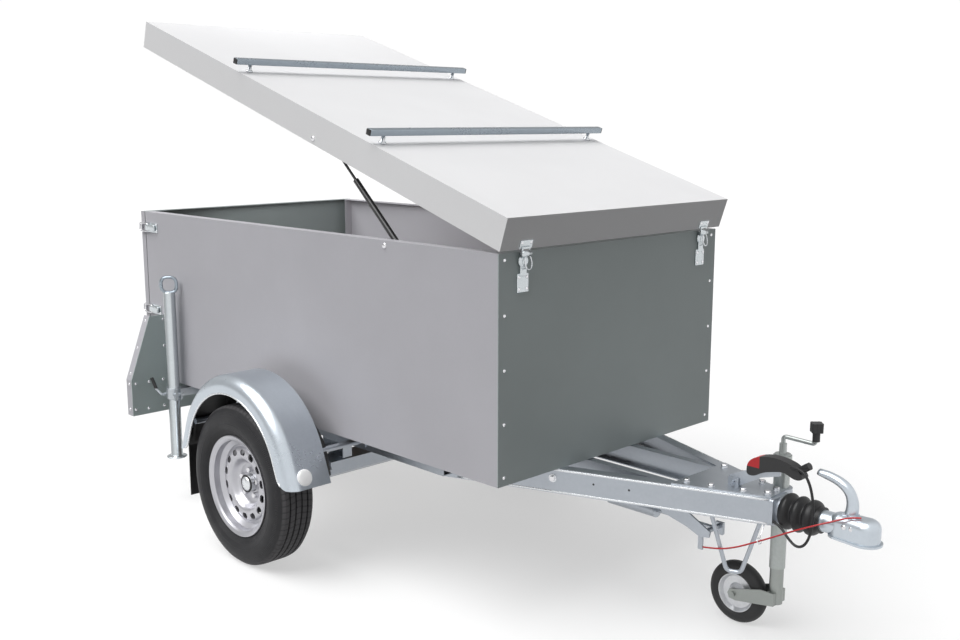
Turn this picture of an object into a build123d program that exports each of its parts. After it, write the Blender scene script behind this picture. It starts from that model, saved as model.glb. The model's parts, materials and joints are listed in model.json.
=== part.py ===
"""Single-axle braked box trailer with a hinged lid, a folding tailgate and a jockey wheel.

Millimetres. +X points to the coupling, +Y to the trailer's left, +Z up.
The origin is on the ground, in the middle of the trailer's length and width.
"""

import os
from math import atan, atan2, cos, degrees, hypot, radians, sin, sqrt, tan

from build123d import *

os.makedirs("parts", exist_ok=True)

# Overall
COUPLING_REACH = 931.0  # front wall to the coupling's nose
BOX_LENGTH = 2125.0  # front wall to the tailgate's outer face
BOX_WIDTH = 1083.0
FLOOR_Z = 490.0  # underside of the walls, top of the chassis
WALL_TOP = 1188.0
SHEET = 3.0
FLANGE = 40.0
TAILGATE_DEPTH = 36.0
FLOOR_BOARD = 12.0

FRONT = (BOX_LENGTH - COUPLING_REACH) / 2
REAR = FRONT - BOX_LENGTH
WALL_REAR = REAR + TAILGATE_DEPTH
HALF = BOX_WIDTH / 2
FLOOR_TOP = FLOOR_Z + SHEET + FLOOR_BOARD

# Running gear
TYRE_RADIUS = 289.0
TYRE_WIDTH = 157.0
RIM_RADIUS = 182.0
WHEEL_Y = HALF + 166.5
AXLE_X = REAR + 1050.0
ARM_LENGTH = 150.0
ARM_RISE = 46.0
FENDER_RISE = 49.0  # middle of the fender's arch above the axle
FENDER_RADIUS = 351.0
FENDER_LIP = FENDER_RADIUS - 63.0
FENDER_IN = WHEEL_Y - 76.0
FENDER_OUT = WHEEL_Y + 88.0
FENDER_LOW = TYRE_RADIUS + 69.0
FENDER_FROM = 22.0  # degrees, where the arch runs out straight
FENDER_SHEET = 3.0
SHOULDER = 44.0
CORNER = 38.0
STAY_ANGLE = 21.0

# Chassis and drawbar
RAIL_Y = HALF - 101.5
RAIL_WIDE = 40.0
RAIL_HIGH = 60.0
BEAM_HIGH = 80.0
BEAM_FLANGE = 40.0
BEAM_SHEET = 4.0
TIP_X = FRONT + 612.0
TIP_Y = 45.0
BEAM_RUN = 997.826  # tip to the place where a beam meets its rail
BEAM_SLOPE = (RAIL_Y - RAIL_WIDE / 2 - TIP_Y) / BEAM_RUN
INNER_RAIL_Y = 125.0

# Coupling and jockey wheel
DRAW_Z = 452.0
DRAW_RADIUS = 25.0
BALL_RADIUS = 25.3
BALL_X = FRONT + 885.0
JOCKEY_X = FRONT + 555.0
JOCKEY_Y = 112.0
JOCKEY_RADIUS = 100.0
JOCKEY_TRAIL = 130.0
TUBE_RADIUS = 24.0
LOOP_LOW = 248.0
LINK_Z = 333.0  # brake rod

# Lid
LID_OPEN = 18.0  # degrees
LID_DEEP = 103.0
LID_GAP = 5.5
LID_SHEET = 3.0
LID_OVER = 6.0
HINGE_X = FRONT + 15.0
HINGE_Z = WALL_TOP - 5.0
BAR_REACH = HALF + 20.5
STRUT_Y = HALF - 58.5
STRUT_X = FRONT - 514.0
STRUT_Z = WALL_TOP - 17.0
STRUT_ON_LID = (-937.0, 19.0)
CYLINDER = 290.0
LATCH_Y = HALF - 96.5

# Rear
PROP_X = REAR + 285.0
PROP_Y = HALF + 43.5
BOARD_X = REAR + 180.0
GATE_HINGE_X = REAR + TAILGATE_DEPTH / 2
GATE_HINGE_Z = FLOOR_Z - 16.0
GATE_HINGE_Y = HALF - 161.5
BOARD_LOW = 363.0
BOARD_TOP = 770.0
BOARD_WIDE = HALF + 174.5
BOARD_SLANT = 0.558 * (BOARD_WIDE - HALF - 6)
CLAMP_Z = FLOOR_Z - 30.0
PROP_LOW = 193.0
PROP_HIGH = 880.0

FIT = 0.3
SIDES = (("right", -1), ("left", 1))


def block(x, y, z, mode=Mode.ADD):
    """Box between two x, two y and two z values."""
    with Locations(((x[0] + x[1]) / 2, (y[0] + y[1]) / 2, (z[0] + z[1]) / 2)):
        Box(abs(x[1] - x[0]), abs(y[1] - y[0]), abs(z[1] - z[0]), mode=mode)


def rod(start, end, radius, mode=Mode.ADD):
    """Round bar from one point to another."""
    span = Vector(*end) - Vector(*start)
    with Locations(Plane(origin=Vector(*start) + span / 2, z_dir=span).location):
        Cylinder(radius, span.length, mode=mode)


def on_lid(u, y, d):
    """Point of the opened lid: u ahead of its front edge, d above its lower edge."""
    a = radians(LID_OPEN)
    dx, dz = FRONT + LID_OVER - HINGE_X + u, WALL_TOP + LID_GAP - HINGE_Z + d
    return (HINGE_X + dx * cos(a) + dz * sin(a), y, HINGE_Z - dx * sin(a) + dz * cos(a))


def bends(points):
    """Radius at each inner point of a cable's route, as large as the shorter of its two runs allows."""
    runs = [Vector(*b) - Vector(*a) for a, b in zip(points, points[1:])]
    return [0.45 * min(p.length, q.length) / tan(radians(p.get_angle(q)) / 2) for p,
            q in zip(runs, runs[1:])]


LID_PLANE = Plane(origin=on_lid(0, 0, 0), x_dir=Vector(*on_lid(1, 0, 0)) - Vector(*on_lid(0, 0, 0)),
                  z_dir=Vector(*on_lid(0, 0, 1)) - Vector(*on_lid(0, 0, 0)))
LID_LENGTH = FRONT + LID_OVER - REAR - 2


def lid_block(u, y, d, mode=Mode.ADD):
    """Box in the opened lid's own directions."""
    middle = LID_PLANE.from_local_coords(((u[0] + u[1]) / 2, (y[0] + y[1]) / 2, (d[0] + d[1]) / 2))
    with Locations(Plane(origin=middle, x_dir=LID_PLANE.x_dir, z_dir=LID_PLANE.z_dir).location):
        Box(abs(u[1] - u[0]), abs(y[1] - y[0]), abs(d[1] - d[0]), mode=mode)


# Box body
for side, s in SIDES:
    with BuildPart() as side_wall:
        block((WALL_REAR, FRONT - SHEET), (s * HALF, s * (HALF - SHEET)), (FLOOR_Z, WALL_TOP))
        for z in (FLOOR_Z, WALL_TOP - SHEET):
            block((WALL_REAR, FRONT - SHEET), (s * HALF, s * (HALF - FLANGE)), (z, z + SHEET))
        block((WALL_REAR, WALL_REAR + SHEET), (s * HALF, s * (HALF - FLANGE)), (FLOOR_Z, WALL_TOP))
        rod((STRUT_X, s * HALF, STRUT_Z), (STRUT_X, s * (STRUT_Y - 10), STRUT_Z), 5)
    side_wall.part.label = f"side_wall_{side}"
    export_step(side_wall.part, f"parts/side_wall_{side}.step")

with BuildPart() as front_wall:
    block((FRONT - SHEET, FRONT), (-HALF, HALF), (FLOOR_Z, WALL_TOP))
    for z in (FLOOR_Z, WALL_TOP - SHEET):
        block((FRONT - FLANGE, FRONT), (FLANGE - HALF, HALF - FLANGE), (z, z + SHEET))
front_wall.part.label = "front_wall"
export_step(front_wall.part, "parts/front_wall.step")

with BuildPart() as floor_panel:
    block((WALL_REAR + SHEET, FRONT - SHEET), (SHEET - HALF, HALF - SHEET), (FLOOR_Z + SHEET, FLOOR_TOP))
floor_panel.part.label = "floor_panel"
export_step(floor_panel.part, "parts/floor_panel.step")

# Chassis: two long tubes, two cross tubes and two channels that run into the drawbar, welded
RAIL_IN = RAIL_Y - RAIL_WIDE / 2
RAIL_OUT = RAIL_Y + RAIL_WIDE / 2
RAIL_FRONT = FRONT - 330.0
CROSS_X = FRONT - 620.0
LEAN = atan(BEAM_SLOPE)


def beam_y(x):
    """Outer face of the left drawbar beam at this x."""
    return TIP_Y + BEAM_SLOPE * (TIP_X - x)


with BuildPart() as chassis_frame:
    for side, s in SIDES:
        block((WALL_REAR, RAIL_FRONT), (s * RAIL_IN, s * RAIL_OUT), (FLOOR_Z - RAIL_HIGH, FLOOR_Z))
        block((WALL_REAR, RAIL_FRONT), (s * (RAIL_IN + 3), s * (RAIL_OUT - 3)),
              (FLOOR_Z - RAIL_HIGH + 3, FLOOR_Z - 3), mode=Mode.SUBTRACT)
    for x in (CROSS_X, WALL_REAR + 20):
        block((x - 20, x + 20), (-RAIL_IN, RAIL_IN), (FLOOR_Z - RAIL_HIGH, FLOOR_Z))
        block((x - 17, x + 17), (-RAIL_IN, RAIL_IN), (FLOOR_Z - RAIL_HIGH + 3, FLOOR_Z - 3),
              mode=Mode.SUBTRACT)
    for side, s in SIDES:
        with BuildSketch(Plane.XY.offset(FLOOR_Z - BEAM_HIGH + BEAM_SHEET)):
            with BuildLine():
                ends = [TIP_X - (w - TIP_Y + BEAM_SHEET / cos(LEAN)) / BEAM_SLOPE
                        for w in (INNER_RAIL_Y, INNER_RAIL_Y - 30)]
                Polyline((CROSS_X + 20, s * INNER_RAIL_Y), (ends[0], s * INNER_RAIL_Y),
                         (ends[1], s * (INNER_RAIL_Y - 30)),
                         (CROSS_X + 20, s * (INNER_RAIL_Y - 30)), close=True)
            make_face()
        extrude(amount=BEAM_HIGH - 2 * BEAM_SHEET)
        block((CROSS_X + 23, FRONT + 500), (s * (INNER_RAIL_Y - 3), s * (INNER_RAIL_Y - 60)),
              (FLOOR_Z - BEAM_HIGH + BEAM_SHEET + 3, FLOOR_Z - BEAM_SHEET - 3), mode=Mode.SUBTRACT)
    stay_reach = FENDER_RADIUS - FENDER_SHEET - 11 - FIT / 2
    stay_z = TYRE_RADIUS + FENDER_RISE + stay_reach * sin(radians(STAY_ANGLE))
    stay_x = stay_reach * cos(radians(STAY_ANGLE))
    for side, s in SIDES:
        for k in (-1, 1):
            x = AXLE_X + k * stay_x
            rod((x, s * RAIL_OUT, stay_z), (x, s * (FENDER_OUT - SHOULDER - 6), stay_z), 11)
            block((x - 30, x + 30), (s * RAIL_OUT, s * (RAIL_OUT + 5)), (stay_z - 16, stay_z + 16))
        block((WALL_REAR - 4, WALL_REAR), (s * GATE_HINGE_Y - 30, s * GATE_HINGE_Y + 30),
              (FLOOR_Z - 50, FLOOR_Z - 4))
        for k in (-1, 1):
            block((GATE_HINGE_X - 8, WALL_REAR - 4),
                  (s * GATE_HINGE_Y + k * 20.5, s * GATE_HINGE_Y + k * 28),
                  (GATE_HINGE_Z - 9, GATE_HINGE_Z + 9))
        rod((GATE_HINGE_X, s * GATE_HINGE_Y - 28, GATE_HINGE_Z),
            (GATE_HINGE_X, s * GATE_HINGE_Y + 28, GATE_HINGE_Z), 5)
chassis_frame.part.label = "chassis_frame"
export_step(chassis_frame.part, "parts/chassis_frame.step")

# Drawbar
HOUSING_BACK = FRONT + 540.0
HOUSING_FRONT = FRONT + 624.0
HOUSING_HALF = TIP_Y - BEAM_SHEET / cos(atan(BEAM_SLOPE)) - 1.0
BEAM_LENGTH = 60.0 + (RAIL_OUT - TIP_Y) / sin(LEAN)
for side, s in SIDES:
    tip = Plane(origin=(TIP_X, s * TIP_Y, FLOOR_Z - BEAM_HIGH / 2), x_dir=(-sin(LEAN), -s * cos(LEAN), 0),
                z_dir=(-cos(LEAN), s * sin(LEAN), 0))
    with BuildPart() as drawbar_beam:
        with BuildSketch(tip.offset(-60)):
            with Locations((BEAM_FLANGE / 2, 0)):
                Rectangle(BEAM_FLANGE, BEAM_HIGH)
            with Locations((BEAM_FLANGE / 2 + BEAM_SHEET, 0)):
                Rectangle(BEAM_FLANGE, BEAM_HIGH - 2 * BEAM_SHEET, mode=Mode.SUBTRACT)
        extrude(amount=BEAM_LENGTH)
        block((TIP_X, TIP_X + 200), (-200, 200), (0, WALL_TOP), mode=Mode.SUBTRACT)
        block((FRONT - 900, FRONT), (s * RAIL_IN, s * (RAIL_IN + 400)), (0, WALL_TOP), mode=Mode.SUBTRACT)
        block((HOUSING_BACK, TIP_X), (-HOUSING_HALF, HOUSING_HALF), (0, WALL_TOP), mode=Mode.SUBTRACT)
    drawbar_beam.part.label = f"drawbar_beam_{side}"
    export_step(drawbar_beam.part, f"parts/drawbar_beam_{side}.step")

# Axle, swing arms, wheels
TORSION_X = AXLE_X + ARM_LENGTH
TORSION_Z = TYRE_RADIUS + ARM_RISE
TUBE_END = RAIL_OUT + 40.0
ARM_IN, ARM_OUT = TUBE_END, TUBE_END + 24.0
with BuildPart() as axle_tube:
    with BuildSketch(Plane(origin=(TORSION_X, -TUBE_END, TORSION_Z), z_dir=(0, 1, 0))):
        RegularPolygon(46, 6)
        RegularPolygon(41, 6, mode=Mode.SUBTRACT)
    extrude(amount=2 * TUBE_END)
    AXLE_TOP = TORSION_Z + 46 * cos(radians(30))
    for side, s in SIDES:
        block((TORSION_X - 60, TORSION_X + 60), (s * RAIL_IN, s * RAIL_OUT),
              (AXLE_TOP - 3, FLOOR_Z - RAIL_HIGH))
        block((TORSION_X - 54, TORSION_X + 54), (s * (RAIL_IN + 5), s * RAIL_OUT),
              (AXLE_TOP, FLOOR_Z - RAIL_HIGH - 6), mode=Mode.SUBTRACT)
    block((TORSION_X + 30, TORSION_X + 62), (-16, 16), (LINK_Z - 14, LINK_Z + 14))
axle_tube.part.label = "axle_tube"
export_step(axle_tube.part, "parts/axle_tube.step")

RIM_OUT = WHEEL_Y + 62.0  # rim's outer edge
HUB_FACE = RIM_OUT - 58.0  # disc face at the hub
BACKPLATE = WHEEL_Y - 92.0
GROOVES = [TYRE_WIDTH * k for k in (-0.225, -0.075, 0.075, 0.225)]
for side, s in SIDES:
    with BuildPart() as swing_arm:
        with BuildSketch(Plane(origin=(0, s * ARM_IN, 0), x_dir=(1, 0, 0), z_dir=(0, s, 0))):
            with BuildLine():
                f = -s
                Polyline((TORSION_X + 46, f * TORSION_Z), (TORSION_X + 20, f * (TORSION_Z + 44)),
                         (TORSION_X - 20, f * (TORSION_Z + 44)), (AXLE_X - 30, f * (TYRE_RADIUS + 26)),
                         (AXLE_X - 34, f * (TYRE_RADIUS - 24)), (AXLE_X + 20, f * (TYRE_RADIUS - 36)),
                         (TORSION_X + 20, f * (TORSION_Z - 44)), close=True)
            make_face()
        extrude(amount=ARM_OUT - ARM_IN)
        rod((AXLE_X, s * ARM_OUT, TYRE_RADIUS), (AXLE_X, s * (BACKPLATE - 8), TYRE_RADIUS), 26)
        rod((AXLE_X, s * (BACKPLATE - 8), TYRE_RADIUS), (AXLE_X, s * BACKPLATE, TYRE_RADIUS), 118)
        rod((AXLE_X, s * BACKPLATE, TYRE_RADIUS), (AXLE_X, s * (HUB_FACE - 6), TYRE_RADIUS), 17)
    swing_arm.part.label = f"swing_arm_{side}"
    export_step(swing_arm.part, f"parts/swing_arm_{side}.step")

    hub_plane = Plane(origin=(AXLE_X, 0, TYRE_RADIUS), x_dir=(0, s, 0), z_dir=(1, 0, 0))
    spin = Axis((AXLE_X, 0, TYRE_RADIUS), (0, 1, 0))
    v = s * hub_plane.y_dir.Z
    r_ = hub_plane.y_dir.Z

    with BuildPart() as tyre:
        with BuildSketch(hub_plane):
            with BuildLine():
                w = TYRE_WIDTH / 2
                low = RIM_RADIUS - 15.0
                k = RIM_RADIUS + 48
                Polyline((WHEEL_Y - 46, r_ * low), (WHEEL_Y - 61, r_ * low),
                         (WHEEL_Y - 61, r_ * (RIM_RADIUS + 2)))
                Spline((WHEEL_Y - 61, r_ * (RIM_RADIUS + 2)), (WHEEL_Y - w, r_ * k),
                       (WHEEL_Y - w + 14, r_ * (TYRE_RADIUS - 12)))
                Polyline((WHEEL_Y - w + 14, r_ * (TYRE_RADIUS - 12)),
                         (WHEEL_Y - w + 26, r_ * (TYRE_RADIUS - 2)),
                         *[(WHEEL_Y + g + e, r_ * (TYRE_RADIUS - d)) for g in GROOVES
                           for e, d in ((-3.5, 0), (-2.5, 7), (2.5, 7), (3.5, 0))],
                         (WHEEL_Y + w - 26, r_ * (TYRE_RADIUS - 2)),
                         (WHEEL_Y + w - 14, r_ * (TYRE_RADIUS - 12)))
                Spline((WHEEL_Y + w - 14, r_ * (TYRE_RADIUS - 12)), (WHEEL_Y + w, r_ * k),
                       (WHEEL_Y + 61, r_ * (RIM_RADIUS + 2)))
                Polyline((WHEEL_Y + 61, r_ * (RIM_RADIUS + 2)), (WHEEL_Y + 61, r_ * low),
                         (WHEEL_Y + 46, r_ * low),
                         (WHEEL_Y + w - 11, r_ * k), (WHEEL_Y + w - 30, r_ * (TYRE_RADIUS - 19)),
                         (WHEEL_Y - w + 30, r_ * (TYRE_RADIUS - 19)), (WHEEL_Y - w + 11, r_ * k),
                         (WHEEL_Y - 46, r_ * low))
            make_face()
        revolve(axis=spin)
    tyre.part.label = f"tyre_{side}"
    export_step(tyre.part, f"parts/tyre_{side}.step")

    with BuildPart() as rim:
        with BuildSketch(hub_plane):
            with BuildLine():
                seat = RIM_RADIUS - 15.0 - FIT
                disc = [(WHEEL_Y + 25, seat - 31), (WHEEL_Y + 32, seat - 38), (WHEEL_Y + 36, seat - 60),
                        (WHEEL_Y + 32, seat - 74), (HUB_FACE + 9, seat - 86), (HUB_FACE, seat - 98)]
                Polyline((HUB_FACE - 4, r_ * 33), (HUB_FACE, r_ * 33), (HUB_FACE, r_ * (seat - 98)))
                Spline(*[(y, r_ * r) for y, r in disc[::-1]])
                Polyline((WHEEL_Y + 25, r_ * (seat - 31)), (WHEEL_Y + 23, r_ * (seat - 22)),
                         (WHEEL_Y + 36, r_ * (seat - 6)),
                         (RIM_OUT - 4, r_ * (seat - 4)), (RIM_OUT + 1, r_ * (seat + 2)),
                         (RIM_OUT + 6, r_ * (RIM_RADIUS - 3)),
                         (RIM_OUT + 5, r_ * RIM_RADIUS), (RIM_OUT - 1, r_ * RIM_RADIUS),
                         (RIM_OUT - 1, r_ * seat),
                         (WHEEL_Y + 34, r_ * (seat - 2)), (WHEEL_Y + 22, r_ * (seat - 18)),
                         (WHEEL_Y - 10, r_ * (seat - 18)), (WHEEL_Y - 24, r_ * (seat - 2)),
                         (WHEEL_Y - 61, r_ * seat), (WHEEL_Y - 61, r_ * RIM_RADIUS),
                         (WHEEL_Y - 66, r_ * RIM_RADIUS),
                         (WHEEL_Y - 66, r_ * (seat - 4)), (WHEEL_Y - 26, r_ * (seat - 6)),
                         (WHEEL_Y - 12, r_ * (seat - 22)), (WHEEL_Y + 12, r_ * (seat - 22)),
                         (WHEEL_Y + 20, r_ * (seat - 32)))
                Spline(*[(y - 5, r_ * (r - 1)) for y, r in disc[:-1]], (HUB_FACE - 4, r_ * (seat - 99)))
                Line((HUB_FACE - 4, r_ * (seat - 99)), (HUB_FACE - 4, r_ * 33))
            make_face()
        revolve(axis=spin)
        with BuildSketch(Plane(origin=(AXLE_X, s * (HUB_FACE - 20), TYRE_RADIUS), z_dir=(0, s, 0))):
            with PolarLocations(seat - 50, 14):
                SlotOverall(29, 21, rotation=90)
        extrude(amount=70, mode=Mode.SUBTRACT)
    rim.part.label = f"rim_{side}"
    export_step(rim.part, f"parts/rim_{side}.step")

    with BuildPart() as brake_drum:
        with BuildSketch(hub_plane):
            with BuildLine():
                Polyline((BACKPLATE + 3, r_ * 112), (HUB_FACE - 14, r_ * 112), (HUB_FACE - 4, r_ * 66),
                         (HUB_FACE - 4, r_ * 32), (HUB_FACE + 16, r_ * 32), (HUB_FACE + 20, r_ * 27),
                         (HUB_FACE + 20, r_ * 0), (HUB_FACE - 6 + FIT, r_ * 0),
                         (HUB_FACE - 6 + FIT, r_ * (17 + FIT)),
                         (HUB_FACE - 24, r_ * (17 + FIT)), (HUB_FACE - 24, r_ * 104),
                         (BACKPLATE + 3, r_ * 104), close=True)
            make_face()
        revolve(axis=spin)
    brake_drum.part.label = f"brake_drum_{side}"
    export_step(brake_drum.part, f"parts/brake_drum_{side}.step")

    # Fender: a pressed arch that runs out straight at both ends, with a round shoulder and a turned lip
    fender_z = TYRE_RADIUS + FENDER_RISE
    with BuildPart() as fender:
        for k, angle in ((1, FENDER_FROM), (-1, 180.0 - FENDER_FROM)):
            a = radians(angle)
            cut = Plane(origin=(AXLE_X, 0, fender_z), x_dir=(0, s, 0), z_dir=(s * sin(a), 0, -s * cos(a)))
            with BuildSketch(cut) as section:
                with BuildLine():
                    t = FENDER_SHEET
                    FilletPolyline((FENDER_IN, FENDER_RADIUS), (FENDER_OUT, FENDER_RADIUS),
                                   (FENDER_OUT, FENDER_LIP), radius=SHOULDER)
                    Line((FENDER_OUT, FENDER_LIP), (FENDER_OUT - t, FENDER_LIP))
                    FilletPolyline((FENDER_OUT - t, FENDER_LIP), (FENDER_OUT - t, FENDER_RADIUS - t),
                                   (FENDER_IN, FENDER_RADIUS - t), radius=SHOULDER - t)
                    Line((FENDER_IN, FENDER_RADIUS - t), (FENDER_IN, FENDER_RADIUS))
                make_face()
            extrude(amount=k * s * FENDER_RADIUS / 2)
            if k == 1:
                revolve(section.sketch, axis=Axis((AXLE_X, 0, fender_z), (0, -1, 0)),
                        revolution_arc=180.0 - 2 * FENDER_FROM)
        block((AXLE_X - 900, AXLE_X + 900), (s * (FENDER_IN - 50), s * (FENDER_OUT + 50)),
              (-600, FENDER_LOW), mode=Mode.SUBTRACT)
        # the lip sweeps out into the lower edge in a round corner
        a = radians(FENDER_FROM)
        down = (fender_z + FENDER_LIP * sin(a) - FENDER_LOW) / cos(a)
        for k in (-1, 1):
            corner = (AXLE_X + k * (FENDER_LIP * cos(a) + down * sin(a)), FENDER_LOW)
            rise = (corner[0] - k * CORNER * sin(a), FENDER_LOW + CORNER * cos(a))
            run = (corner[0] + k * CORNER, FENDER_LOW)
            with BuildSketch(Plane(origin=(0, s * (FENDER_OUT - SHOULDER), 0), x_dir=(1, 0, 0),
                                   z_dir=(0, -1, 0))):
                with BuildLine():
                    Line((corner[0] - k * 60, FENDER_LOW - 20), (rise[0] - k * 60, rise[1]))
                    Line((rise[0] - k * 60, rise[1]), rise)
                    Bezier(rise, (corner[0] - k * 4, FENDER_LOW + 6), run)
                    Line(run, (run[0], FENDER_LOW - 20))
                    Line((run[0], FENDER_LOW - 20), (corner[0] - k * 60, FENDER_LOW - 20))
                make_face()
            extrude(amount=-s * 2 * SHOULDER, mode=Mode.SUBTRACT)
    fender.part.label = f"fender_{side}"
    export_step(fender.part, f"parts/fender_{side}.step")

    with BuildPart() as mudflap:
        a = radians(FENDER_FROM)
        tail = [(AXLE_X - (FENDER_RADIUS - FENDER_SHEET) * cos(a) - k * sin(a),
                 fender_z + (FENDER_RADIUS - FENDER_SHEET) * sin(a) - k * cos(a))
                for k in (45.0,
                          (fender_z + (FENDER_RADIUS - FENDER_SHEET) * sin(a) - FENDER_LOW) / cos(a))]
        with BuildSketch(Plane(origin=(0, s * (FENDER_IN + 12), 0), x_dir=(1, 0, 0), z_dir=(0, -1, 0))):
            with BuildLine():
                Polyline(tail[0], tail[1], (tail[1][0], 160), (tail[1][0] + 4, 160),
                         (tail[1][0] + 4.3, tail[1][1] - 1),
                         (tail[0][0] + 4.3, tail[0][1] - 1), close=True)
            make_face()
        extrude(amount=-s * (FENDER_OUT - FENDER_IN - 58))
    mudflap.part.label = f"mudflap_{side}"
    export_step(mudflap.part, f"parts/mudflap_{side}.step")

    # Prop stand in its clamp
    with BuildPart() as prop_clamp:
        for k in (-1, 1):
            block((PROP_X - 40, PROP_X - TUBE_RADIUS - 4), (s * (PROP_Y + k * 7), s * (PROP_Y + k * 15)),
                  (CLAMP_Z - 22, CLAMP_Z + 22))
            block((PROP_X + TUBE_RADIUS + 4, PROP_X + 44), (s * (PROP_Y + k * 7), s * (PROP_Y + k * 15)),
                  (CLAMP_Z - 22, CLAMP_Z + 22))
        rod((PROP_X, s * PROP_Y, CLAMP_Z - 22), (PROP_X, s * PROP_Y, CLAMP_Z + 22), TUBE_RADIUS + 6)
        block((PROP_X - 20, PROP_X + 20), (s * RAIL_OUT, s * PROP_Y), (CLAMP_Z - 16, CLAMP_Z + 16))
        rod((PROP_X - 34, s * (PROP_Y - 24), CLAMP_Z - 8), (PROP_X - 34, s * (PROP_Y + 36), CLAMP_Z - 8),
            6)
        rod((PROP_X + 36, s * (PROP_Y - 22), CLAMP_Z), (PROP_X + 36, s * (PROP_Y + 22), CLAMP_Z), 6)
        rod((PROP_X - 34, s * (PROP_Y + 36), CLAMP_Z - 8),
            (PROP_X - 46, s * (PROP_Y + 52), CLAMP_Z + 14), 5)
        rod((PROP_X - 46, s * (PROP_Y + 52), CLAMP_Z + 14),
            (PROP_X - 66, s * (PROP_Y + 62), CLAMP_Z + 62), 7)
        rod((PROP_X, s * PROP_Y, CLAMP_Z - 40), (PROP_X, s * PROP_Y, CLAMP_Z + 40), TUBE_RADIUS + FIT,
            mode=Mode.SUBTRACT)
    prop_clamp.part.label = f"prop_clamp_{side}"
    export_step(prop_clamp.part, f"parts/prop_clamp_{side}.step")

    with BuildPart() as prop_stand:
        rod((PROP_X, s * PROP_Y, PROP_LOW), (PROP_X, s * PROP_Y, PROP_HIGH), TUBE_RADIUS)
        rod((PROP_X, s * PROP_Y, PROP_LOW + 6), (PROP_X, s * PROP_Y, PROP_HIGH - 4), TUBE_RADIUS - 3,
            mode=Mode.SUBTRACT)
        rod((PROP_X, s * PROP_Y, PROP_LOW - 6), (PROP_X, s * PROP_Y, PROP_LOW), 41)
        with BuildSketch(Plane(origin=(PROP_X, s * PROP_Y - 14, PROP_HIGH + 27), x_dir=(1, 0, 0),
                               z_dir=(0, -1, 0))):
            RectangleRounded(72, 60, 26)
            RectangleRounded(58, 46, 20, mode=Mode.SUBTRACT)
        extrude(amount=-28)
    prop_stand.part.label = f"prop_stand_{side}"
    export_step(prop_stand.part, f"parts/prop_stand_{side}.step")

# Light board under the tail
with BuildPart() as light_board:
    for side, s in SIDES:
        with BuildSketch(Plane(origin=(BOARD_X, 0, 0), x_dir=(0, 1, 0), z_dir=(1, 0, 0))):
            with BuildLine():
                Polyline((0, BOARD_LOW), (s * BOARD_WIDE, BOARD_LOW), (s * BOARD_WIDE, BOARD_LOW + 150),
                         (s * (BOARD_WIDE - BOARD_SLANT), BOARD_TOP), (s * (HALF + 6), BOARD_TOP),
                         (s * (HALF + 6), FLOOR_Z - 6),
                         (s * RAIL_OUT, FLOOR_Z - 6), (s * RAIL_OUT, FLOOR_Z - RAIL_HIGH),
                         (s * RAIL_IN, FLOOR_Z - RAIL_HIGH),
                         (s * RAIL_IN, FLOOR_Z - 6), (0, FLOOR_Z - 6), close=True)
            make_face()
        extrude(amount=-3)
        with BuildSketch(Plane(origin=(BOARD_X, 0, 0), x_dir=(0, 1, 0), z_dir=(1, 0, 0))):
            with BuildLine():
                Polyline((s * BOARD_WIDE, BOARD_LOW), (s * BOARD_WIDE, BOARD_LOW + 150),
                         (s * (BOARD_WIDE - BOARD_SLANT), BOARD_TOP),
                         (s * (BOARD_WIDE - BOARD_SLANT - 3), BOARD_TOP),
                         (s * (BOARD_WIDE - 3), BOARD_LOW + 150),
                         (s * (BOARD_WIDE - 3), BOARD_LOW), close=True)
            make_face()
        extrude(amount=-45)
light_board.part.label = "light_board"
export_step(light_board.part, "parts/light_board.step")

for side, s in SIDES:
    with BuildPart() as rear_lamp:
        block((BOARD_X - 50, BOARD_X - 3), (s * (BOARD_WIDE - 134.5), s * (BOARD_WIDE - 24.5)),
              (BOARD_LOW + 15, BOARD_LOW + 145))
        fillet(rear_lamp.edges().filter_by(Axis.X), 12)
    rear_lamp.part.label = f"rear_lamp_{side}"
    export_step(rear_lamp.part, f"parts/rear_lamp_{side}.step")

# Overrun gear and coupling
HOUSING_LOW = FLOOR_Z - BEAM_HIGH
NECK = HOUSING_FRONT + 10.0
BELLOWS_END = FRONT + 757.0
TUBE_TIP = FRONT + 812.0
PLATE_TOP = FLOOR_Z + 5.0
PLATE_BACK = FRONT + 335.0
LEVER_Y = -22.0
LEVER_X = FRONT + 478.0
with BuildPart() as overrun_housing:
    block((HOUSING_BACK, TIP_X), (-HOUSING_HALF, HOUSING_HALF), (HOUSING_LOW, FLOOR_Z))
    block((TIP_X, HOUSING_FRONT), (-TIP_Y - 4, TIP_Y + 4), (HOUSING_LOW, FLOOR_Z))
    fillet(overrun_housing.edges().filter_by(Axis.X).group_by(Axis.X)[-1], 9)
    rod((HOUSING_FRONT, 0, DRAW_Z), (NECK, 0, DRAW_Z), 37)
    rod((HOUSING_BACK + 10, 0, DRAW_Z), (NECK, 0, DRAW_Z), DRAW_RADIUS + FIT, mode=Mode.SUBTRACT)
overrun_housing.part.label = "overrun_housing"
export_step(overrun_housing.part, "parts/overrun_housing.step")

with BuildPart() as drawbar_plate:
    with BuildSketch(Plane.XY.offset(FLOOR_Z)):
        with BuildLine():
            Polyline((PLATE_BACK, -beam_y(PLATE_BACK) + 6), (TIP_X, 6 - TIP_Y), (TIP_X, TIP_Y - 6),
                     (PLATE_BACK, beam_y(PLATE_BACK) - 6), close=True)
        make_face()
    extrude(amount=PLATE_TOP - FLOOR_Z)
    for k in (-1, 1):
        block((LEVER_X - 18, LEVER_X + 18), (LEVER_Y + k * 4.3, LEVER_Y + k * 9),
              (PLATE_TOP, PLATE_TOP + 26))
    rod((LEVER_X, LEVER_Y - 20, PLATE_TOP + 13), (LEVER_X, LEVER_Y + 20, PLATE_TOP + 13), 5 + FIT,
        mode=Mode.SUBTRACT)
drawbar_plate.part.label = "drawbar_plate"
export_step(drawbar_plate.part, "parts/drawbar_plate.step")

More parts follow.
